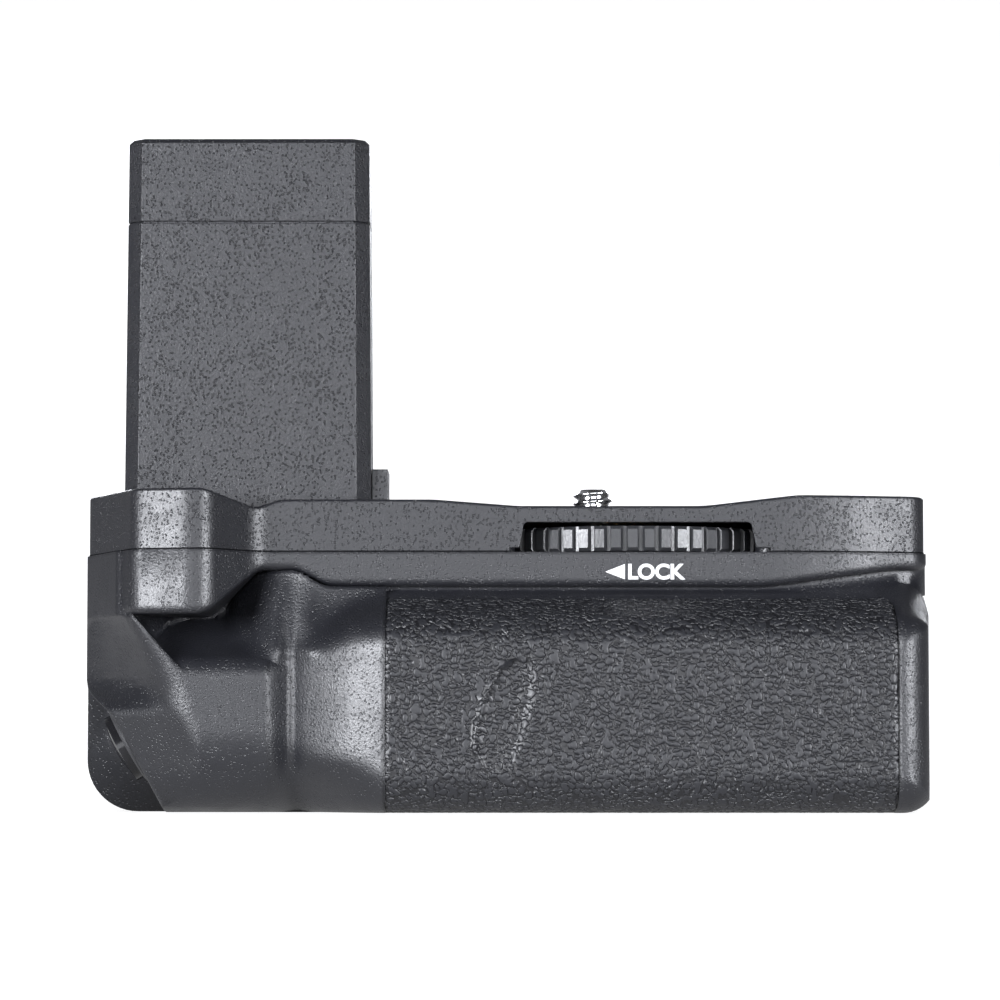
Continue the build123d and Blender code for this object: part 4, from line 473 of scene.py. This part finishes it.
# A thin slice of the shell's lower edge, pushed out a little, stands in for the seam's shadow as painted
# shade.
seam_shade_strip = merged_copy("upper_housing")
for height_cut, normal in ((SEAM_LOW, (0.0, 0.0, -1.0)), (SEAM_HIGH, (0.0, 0.0, 1.0))):
    cut = bmesh.ops.bisect_plane(
        seam_shade_strip, geom=seam_shade_strip.verts[:] + seam_shade_strip.edges[:] + seam_shade_strip.faces[:],
        plane_co=(0.0, 0.0, height_cut), plane_no=normal, clear_outer=True)
    bmesh.ops.triangle_fill(seam_shade_strip, edges=edges_of(cut["geom_cut"]), use_beauty=True)
bmesh.ops.recalc_face_normals(seam_shade_strip, faces=seam_shade_strip.faces[:])
for vert in seam_shade_strip.verts:
    flat = Vector((vert.normal.x, vert.normal.y, 0.0))
    if flat.length > 0.1:
        vert.co += flat.normalized() * SHADOW_STRIP_PROUD
seam_shadow_strip = link_piece("seam_shadow_strip", seam_shade_strip, 40.0)
seam_shade_material, tree, shader = new_material("seam_shadow_black", SEAM_SHADE_BLACK, 0.9, specular=0.1)
dust = noise_node(tree, 900.0).outputs["Fac"]
tree.links.new(remap(tree, dust, 0.3, 0.7, 0.8, 0.95), shader.inputs["Roughness"])
seam_shadow_strip.data.materials.append(seam_shade_material)
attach(seam_shadow_strip, "housing")


# Stem: the dummy battery in two black mouldings, held by screws from below; its surface has the
# deepest pits of all.
stem_plastic = moulded_plastic("stem_plastic", pit_amount=1.1, grain_amount=0.8, soft_edge=0.00025)
dress(["stem_housing", "stem_cap"], stem_plastic)


# Grip cover: a leatherette skin glued into a shallow recess of the swell. The sheet is made flat as a
# fine grid, laid over the swell's profile and pressed in along the creases between its cells.
SLOPE = math.radians(23.4)
COVER_X = (-18.6, 58.4)
COVER_BACK_Y = -18.8
FRONT_Y = -29.0
SHOULDER_Z = 28.5
SHOULDER_RADIUS = 6.0
BOTTOM_RADIUS = 6.5
CELL_SIZE = 1.0
CELL_WANDER = 0.4
CREASE_DEPTH = 0.12
CREASE_WIDTH = 0.42
CLOSED_CREASE = 0.35
CELL_SWELL = 0.05
EDGE_ROLL = (0.22, 0.7)
SHEET_THICKNESS = 0.95
SHEET_STEP = 0.2
SHEET_CORNER = 3.0
LEATHER_SEED = 7
noise.seed_set(LEATHER_SEED)
tangent = SHOULDER_RADIUS * math.tan((math.pi / 2 - SLOPE) / 2)
top_z = SHOULDER_Z + (COVER_BACK_Y - FRONT_Y) * math.tan(SLOPE)
slope_length = (COVER_BACK_Y - FRONT_Y) / math.cos(SLOPE) - tangent
shoulder_length = SHOULDER_RADIUS * (math.pi / 2 - SLOPE)
front_top_z = SHOULDER_Z - tangent
front_length = front_top_z - BOTTOM_RADIUS
bottom_length = BOTTOM_RADIUS * math.pi / 2
under_length = COVER_BACK_Y - FRONT_Y - BOTTOM_RADIUS
cover_length = slope_length + shoulder_length + front_length + bottom_length + under_length


def cover_place(u, v):
    """Point and outward direction of the cover, u along the grip and v down round the profile."""
    x = COVER_X[0] + u
    if v < slope_length:
        y = COVER_BACK_Y - v * math.cos(SLOPE)
        return Vector((x, y, top_z - v * math.sin(SLOPE))), Vector((0, -math.sin(SLOPE), math.cos(SLOPE)))
    v -= slope_length
    if v < shoulder_length:
        turn = math.pi / 2 - SLOPE - v / SHOULDER_RADIUS
        way = Vector((0, -math.cos(turn), math.sin(turn)))
        return Vector((x, FRONT_Y + SHOULDER_RADIUS, front_top_z)) + way * SHOULDER_RADIUS, way
    v -= shoulder_length
    if v < front_length:
        return Vector((x, FRONT_Y, front_top_z - v)), Vector((0, -1, 0))
    v -= front_length
    if v < bottom_length:
        turn = v / BOTTOM_RADIUS
        way = Vector((0, -math.cos(turn), -math.sin(turn)))
        return Vector((x, FRONT_Y + BOTTOM_RADIUS, BOTTOM_RADIUS)) + way * BOTTOM_RADIUS, way
    return Vector((x, FRONT_Y + BOTTOM_RADIUS + v - bottom_length, 0)), Vector((0, 0, -1))


def leather_relief(u, v):
    """Depth of the grain below the sheet's top, and the distance to the nearest crease."""
    spot = Vector((u, v, 0.0)) / CELL_SIZE
    shift = noise.noise_vector(spot * 0.9) * CELL_WANDER
    distances = noise.voronoi(spot + shift)[0]
    gap = distances[1] - distances[0]
    closing = noise.noise(spot * 0.8 + Vector((9.0, 4.0, 2.0)))
    gap += CLOSED_CREASE * (1.0 - smooth_step(closing, -0.55, -0.25))
    swell = 0.5 + 0.5 * noise.noise(spot * 1.6)
    return CREASE_DEPTH * (1.0 - smooth_step(gap, 0.0, CREASE_WIDTH)) + CELL_SWELL * swell, gap


# Rows of the leaf's outline: height, left edge and right edge.
LEAF_ROWS = ((5.0, -1.8, -1.8), (6.5, -3.6, 0.0), (9.6, -5.1, 1.2), (13.3, -4.7, 2.4), (17.1, -3.75, 3.5),
             (21.7, -1.2, 3.6), (24.6, 3.0, 3.0))
LEAF_DEPTH = 0.22
LEAF_GROOVE = 0.5
LEAF_RIM = 0.45
LEAF_FADE = (5.0, 9.0, 22.0, 24.6)
LEAST_HALF = 0.2


def dimple_depth(point):
    """Depth of the leaf-shaped press mark: a rim on its left, a soft floor, and a groove on its right."""
    if not LEAF_ROWS[0][0] < point.z < LEAF_ROWS[-1][0]:
        return 0.0
    left_side = read_table([(z, left) for z, left, right in LEAF_ROWS], point.z)
    right_side = read_table([(z, right) for z, left, right in LEAF_ROWS], point.z)
    half = max(LEAST_HALF, (right_side - left_side) / 2)
    across = (point.x - (left_side + right_side) / 2) / half
    fade = smooth_step(point.z, *LEAF_FADE[:2]) * (1.0 - smooth_step(point.z, *LEAF_FADE[2:]))
    floor = LEAF_DEPTH * max(0.0, 1.0 - across * across)
    groove = LEAF_GROOVE * math.exp(-((across - 0.74) / 0.30) ** 2)
    rim = LEAF_RIM * math.exp(-((across + 1.02) / 0.16) ** 2)
    return (floor + groove - rim) * fade


def grained_sheet(name, width, length, step, place, dimpled):
    """A closed sheet with a leather relief on its outer side; sizes in millimetres.

    The dimpled cover is rounded only at its upper right corner, the other sheet at all four.
    """
    sheet = bmesh.new()
    groove = sheet.verts.layers.float.new("groove")
    outward = sheet.verts.layers.float_vector.new("outward")
    bmesh.ops.create_grid(
        sheet, x_segments=int(width / step), y_segments=int(length / step), size=0.5)
    for vert in sheet.verts:
        u = (vert.co.x + 0.5) * width
        v = (vert.co.y + 0.5) * length
        edge_u = min(u, width - u)
        edge_v = min(v, length - v)
        rounded = SHEET_CORNER if (u > width / 2 and v < length / 2) or not dimpled else 0.0
        if edge_u < rounded and edge_v < rounded:
            middle = Vector((rounded, rounded))
            offset = Vector((edge_u, edge_v)) - middle
            if offset.length > rounded:
                offset = offset.normalized() * rounded
                u += (middle.x + offset.x - edge_u) * (1.0 if u < width / 2 else -1.0)
                v += (middle.y + offset.y - edge_v) * (1.0 if v < length / 2 else -1.0)
                edge_u = edge_v = 0.0
        point, way = place(u, v)
        depth, gap = leather_relief(u, v)
        depth += EDGE_ROLL[0] * (1.0 - smooth_step(min(edge_u, edge_v), 0.0, EDGE_ROLL[1]))
        if dimpled:
            depth += dimple_depth(point)
        vert.co = (point - way * depth) * MM
        vert[groove] = gap
        vert[outward] = way
    rim = [edge for edge in sheet.edges if edge.is_boundary]
    grown = bmesh.ops.extrude_edge_only(sheet, edges=rim)["geom"]
    for vert in verts_of(grown):
        vert.co -= vert[outward] * SHEET_THICKNESS * MM
    rim = [edge for edge in sheet.edges if edge.is_boundary]
    bmesh.ops.holes_fill(sheet, edges=rim, sides=0)
    bmesh.ops.recalc_face_normals(sheet, faces=sheet.faces[:])
    return link_piece(name, sheet, 50.0)


cover_sheet = grained_sheet(
    "cover_sheet", COVER_X[1] - COVER_X[0], cover_length, SHEET_STEP, cover_place, dimpled=True)
LEATHER_BLACK = (0.016, 0.0165, 0.020, 1.0)
# Painted shade: the colour used along the creases between the cells.
CREASE_SHADE_BLACK = (0.006, 0.006, 0.008, 1.0)
leather, tree, shader = new_material("leatherette", LEATHER_BLACK, 0.37, specular=0.7)
groove_gap = tree.nodes.new("ShaderNodeAttribute")
groove_gap.attribute_name = "groove"
# Painted shade: the base colour darkens along the creases, besides their real depth in the sheet and the
# bump.
crease = remap(tree, groove_gap.outputs["Fac"], 0.06, 0.22, 1.0, 0.0)
tree.links.new(mix_color(tree, crease, LEATHER_BLACK, CREASE_SHADE_BLACK), shader.inputs["Base Color"])
skin = noise_node(tree, 2200.0, 3.0, 0.6).outputs["Fac"]
tree.links.new(remap(tree, skin, 0.3, 0.7, 0.36, 0.46), shader.inputs["Roughness"])
leather_height = math_node(tree, "SUBTRACT", math_node(tree, "MULTIPLY", skin, 0.3), crease)
add_bump(tree, shader, leather_height, 1.0, 0.00014)
cover_sheet.data.materials.append(leather)
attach(cover_sheet, "housing")
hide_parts("grip_cover")


# Thumb pad: a piece of the same leatherette let into the back wall, where the thumb lies when the
# camera is held upright.
PAD_LOW = (-58.2, 29.3, 7.0)
PAD_SIZE = (26.0, 20.0)
PAD_STEP = 0.22


def thumb_pad_place(u, v):
    """Point and outward direction of the flat thumb pad on the back."""
    return Vector((PAD_LOW[0] + u, PAD_LOW[1], PAD_LOW[2] + v)), Vector((0, 1, 0))


thumb_sheet = grained_sheet("thumb_sheet", *PAD_SIZE, PAD_STEP, thumb_pad_place, dimpled=False)
thumb_sheet.data.materials.append(leather)
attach(thumb_sheet, "housing")
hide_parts("thumb_pad")


# Lock wheel: the fluted ring in satin black that a finger turns. It runs on the fixed hub, and its
# internal teeth drive the screw's pinion.
def plain_finish(name, color, roughness, metallic=0.0, specular=0.5, scale=900.0, relief=0.15):
    """A plain finish whose gloss and surface vary a little."""
    material, tree, shader = new_material(name, color, roughness, specular, metallic)
    variation = noise_node(tree, scale, 3.0, 0.55).outputs["Fac"]
    gloss = remap(tree, variation, 0.3, 0.7, max(roughness - 0.05, 0.02), roughness + 0.05)
    tree.links.new(gloss, shader.inputs["Roughness"])
    add_bump(tree, shader, variation, relief, 0.00005)
    return material


wheel_black = plain_finish(
    "wheel_black", (0.030, 0.031, 0.034, 1.0), 0.33, specular=0.7, scale=2600.0, relief=0.6)
dress(["lock_wheel"], wheel_black)


# Wheel hub and chassis plate: the fixed disc the wheel turns on, in plain black plastic, and the
# zinc-plated steel plate below it, fixed with blackened screws.
inner_plastic = plain_finish("inner_plastic", (0.03, 0.03, 0.033, 1.0), 0.5, scale=1500.0, relief=0.3)
plate_steel = plain_finish("plate_steel", (0.56, 0.56, 0.57, 1.0), 0.32, metallic=1.0, scale=500.0)
black_screw = plain_finish("black_screw", (0.06, 0.06, 0.065, 1.0), 0.35, metallic=0.9, scale=1200.0)
dress(["wheel_hub"], inner_plastic)
dress(["chassis_plate", "door_hinge_pin", "screw_clip"], plate_steel)
dress(["chassis_screws", "deck_screws", "stem_screws", "board_screws"], black_screw)


# Tripod screw: turned brass, chromed, with a helical 1/4-20 thread above its neck, a shoulder under the
# deck and the shaft that carries the gear and the clip. The driver slot in its tip is left out here.
SCREW_X = 13.5
SCREW_Y = 9.0
THREAD_PITCH = 1.27
THREAD_RADIUS = 3.175
THREAD_ROOT = 2.5
THREAD_STEPS = 64
THREAD_LOW_Z = 47.65
THREAD_TURNS = 1.85
THREAD_GAP = 0.07
CREST_FLAT = 0.05
CREST_CUT = 0.02
ROOT_SINK = 0.08


def revolve(mesh, outline, x, y, steps):
    """Turns an outline of (radius, height) points in millimetres about an upright axis."""
    points = [mesh.verts.new(((x + r) * MM, y * MM, z * MM)) for r, z in outline]
    edges = [mesh.edges.new(pair) for pair in zip(points, points[1:])]
    bmesh.ops.spin(
        mesh, geom=points + edges, cent=(x * MM, y * MM, 0.0), axis=(0.0, 0.0, 1.0),
        angle=math.radians(360.0), steps=steps, use_merge=True)


screw = bmesh.new()
revolve(screw, [
    (0.0, 35.9), (2.7, 35.9), (3.0, 36.2), (3.0, 36.95), (2.3, 36.95), (2.3, 37.95), (3.0, 37.95),
    (3.0, 43.8), (4.2, 43.8), (4.2, 44.6), (2.9, 44.6), (2.9, 47.5), (THREAD_ROOT, 47.8),
    (THREAD_ROOT, 50.6), (2.1, 51.1), (0.0, 51.1)], SCREW_X, SCREW_Y, THREAD_STEPS)
half = THREAD_PITCH / 2 - THREAD_GAP
thread_section = [screw.verts.new(((SCREW_X + r) * MM, SCREW_Y * MM, z * MM)) for r, z in (
    (THREAD_ROOT - ROOT_SINK, THREAD_LOW_Z),
    (THREAD_RADIUS - CREST_CUT, THREAD_LOW_Z + half - CREST_FLAT),
    (THREAD_RADIUS - CREST_CUT, THREAD_LOW_Z + half + CREST_FLAT),
    (THREAD_ROOT - ROOT_SINK, THREAD_LOW_Z + 2 * half))]
thread_face = screw.faces.new(thread_section)
bmesh.ops.spin(
    screw, geom=[thread_face], cent=(SCREW_X * MM, SCREW_Y * MM, 0.0), axis=(0.0, 0.0, 1.0),
    angle=math.radians(360.0 * THREAD_TURNS), steps=int(THREAD_STEPS * THREAD_TURNS),
    dvec=(0.0, 0.0, THREAD_PITCH * MM / THREAD_STEPS))
bmesh.ops.remove_doubles(screw, verts=screw.verts, dist=WELD_REACH)
bmesh.ops.recalc_face_normals(screw, faces=screw.faces[:])
threaded_screw = link_piece("threaded_screw", screw, 35.0)
chrome = plain_finish("screw_chrome", (0.80, 0.80, 0.81, 1.0), 0.14, metallic=1.0, scale=700.0)
threaded_screw.data.materials.append(chrome)
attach(threaded_screw, "camera_screw")
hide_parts("tripod_screw")


# Screw gear: a machined brass pinion in mesh with the wheel's internal teeth. It sits on the screw's
# shaft, so that the two turn together.
gear_brass = plain_finish("gear_brass", (0.78, 0.56, 0.25, 1.0), 0.28, metallic=1.0, scale=600.0)
dress(["screw_gear"], gear_brass)


# Deck pad and feet: moulded rubber, a little lighter than the body. The pad lies on the deck round the
# screw, where the camera rests, and the two feet are let into the base.
pad_rubber = plain_finish("pad_rubber", (0.055, 0.055, 0.058, 1.0), 0.62, scale=2200.0, relief=0.5)
dress(["deck_pad", "left_foot_pad", "right_foot_pad"], pad_rubber)


# Lock legend: a white arrow and the word LOCK, pad printed on the band below the wheel. The word is a
# text turned into a mesh and stretched to its place, in metres. The arrow's corners are in millimetres.
LEGEND_Y = -0.01802
WORD_LEFT_X = 0.01825
WORD_WIDTH = 0.00875
WORD_LOW_Z = 0.03555
WORD_HEIGHT = 0.00245
ARROW_POINTS = ((14.75, 36.75), (17.75, 35.60), (17.75, 37.95))
INK = 0.00002
legend_text = bpy.data.curves.new("legend_text", "FONT")
legend_text.body = "LOCK"
legend_text.size = 0.00335
legend_text.offset = 0.00011
legend_text.space_character = 0.98
legend_text.extrude = INK
holder = bpy.data.objects.new("legend_text", legend_text)
scene.collection.objects.link(holder)
bpy.context.view_layer.update()
letters = bpy.data.meshes.new_from_object(holder.evaluated_get(bpy.context.evaluated_depsgraph_get()))
bpy.data.objects.remove(holder)
legend = bmesh.new()
legend.from_mesh(letters)
bpy.data.meshes.remove(letters)
wide = max(v.co.x for v in legend.verts) - min(v.co.x for v in legend.verts)
left = min(v.co.x for v in legend.verts)
low = min(v.co.y for v in legend.verts)
tall = max(v.co.y for v in legend.verts) - low
for vert in legend.verts:
    across = (vert.co.x - left) / wide
    up = (vert.co.y - low) / tall
    vert.co = Vector((
        WORD_LEFT_X + across * WORD_WIDTH, LEGEND_Y - vert.co.z, WORD_LOW_Z + up * WORD_HEIGHT))
arrow = [legend.verts.new((x * MM, LEGEND_Y - INK, z * MM)) for x, z in ARROW_POINTS]
arrow_face = legend.faces.new(arrow)
thick = bmesh.ops.extrude_face_region(legend, geom=[arrow_face])["geom"]
bmesh.ops.translate(legend, verts=verts_of(thick), vec=(0.0, 2 * INK, 0.0))
bmesh.ops.recalc_face_normals(legend, faces=legend.faces[:])
lock_legend = link_piece("lock_legend", legend)
print_white = plain_finish("print_white", (0.84, 0.84, 0.84, 1.0), 0.5, scale=1800.0, relief=0.1)
lock_legend.data.materials.append(print_white)
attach(lock_legend, "housing")


# Shutter button: a glossy black domed cap in a satin collar. A coil spring between its flange and the
# board pushes it out over the switch.
button_gloss = plain_finish("button_gloss", (0.014, 0.014, 0.016, 1.0), 0.10, scale=400.0, relief=0.05)
dress(["shutter_button"], button_gloss)
collar_satin = plain_finish("collar_satin", (0.05, 0.05, 0.053, 1.0), 0.36, scale=1800.0, relief=0.3)
dress(["shutter_collar"], collar_satin)
spring_steel = plain_finish("spring_steel", (0.62, 0.61, 0.6, 1.0), 0.25, metallic=1.0, scale=800.0)
dress(["shutter_spring", "latch_spring", "eject_springs"], spring_steel)
component_black = plain_finish("component_black", (0.022, 0.022, 0.024, 1.0), 0.3, scale=1400.0)
dress(["shutter_switch", "board_parts"], component_black)
dress(["shutter_holder"], inner_plastic)


# Boards: glass-fibre laminate under green solder mask, with a faint weave. The main board is screwed on
# inside the back wall, and the small one carries the shutter switch.
board_green, tree, shader = new_material("board_green", (0.012, 0.12, 0.045, 1.0), 0.3)
weave = tree.nodes.new("ShaderNodeTexVoronoi")
weave.inputs["Scale"].default_value = 700.0
place = tree.nodes.new("ShaderNodeTexCoord")
tree.links.new(place.outputs["Object"], weave.inputs["Vector"])
cloth = remap(tree, weave.outputs["Distance"], 0.0, 0.7)
tree.links.new(mix_color(tree, cloth, (0.010, 0.10, 0.036, 1.0), (0.016, 0.14, 0.054, 1.0)),
               shader.inputs["Base Color"])
add_bump(tree, shader, cloth, 0.1, 0.00004)
dress(["main_board", "shutter_board"], board_green)


# Battery bay: liner and contact block in plain black plastic, as the power switch's body. Bent gilt leaf
# contacts meet the packs.
dress(["battery_bay", "contact_block", "switch_body"], inner_plastic)
gilt = plain_finish("contact_gilt", (0.86, 0.66, 0.30, 1.0), 0.18, metallic=1.0, scale=500.0)
dress(["bay_contacts", "stem_contacts"], gilt)


# Battery door: the grained end door on its steel pin, with a sprung slide latch in satin black and a
# foam pad inside that holds the packs. The power knob on the back has the latch's finish.
door_plastic = moulded_plastic(
    "door_plastic", pit_amount=0.6, grain_amount=0.25, soft_edge=0.0002, roughness=0.40)
dress(["battery_door"], door_plastic)
knob_satin = plain_finish("knob_satin", (0.05, 0.05, 0.054, 1.0), 0.4, scale=2000.0, relief=0.35)
dress(["door_latch", "power_knob"], knob_satin)
foam = plain_finish("door_foam", (0.05, 0.05, 0.05, 1.0), 0.9, specular=0.1, scale=1500.0, relief=1.0)
dress(["door_pad"], foam)


# Lamp and jack: a red light pipe that reaches from the board to the back wall beside the power switch,
# and the remote release jack in the left end.
lamp_red, tree, shader = new_material("lamp_red", (0.45, 0.03, 0.02, 1.0), 0.12)
cloudy = noise_node(tree, 700.0).outputs["Fac"]
tree.links.new(remap(tree, cloudy, 0.3, 0.7, 0.08, 0.18), shader.inputs["Roughness"])
shader.inputs["Transmission Weight"].default_value = 0.35
dress(["status_lamp"], lamp_red)
jack_black = plain_finish("jack_black", (0.02, 0.02, 0.022, 1.0), 0.22, scale=900.0)
dress(["remote_jack"], jack_black)


# Tripod bush: plated steel, pressed into its boss in the base. The 1/4-20 thread inside the real one is
# left out here.
dress(["tripod_bush"], plate_steel)
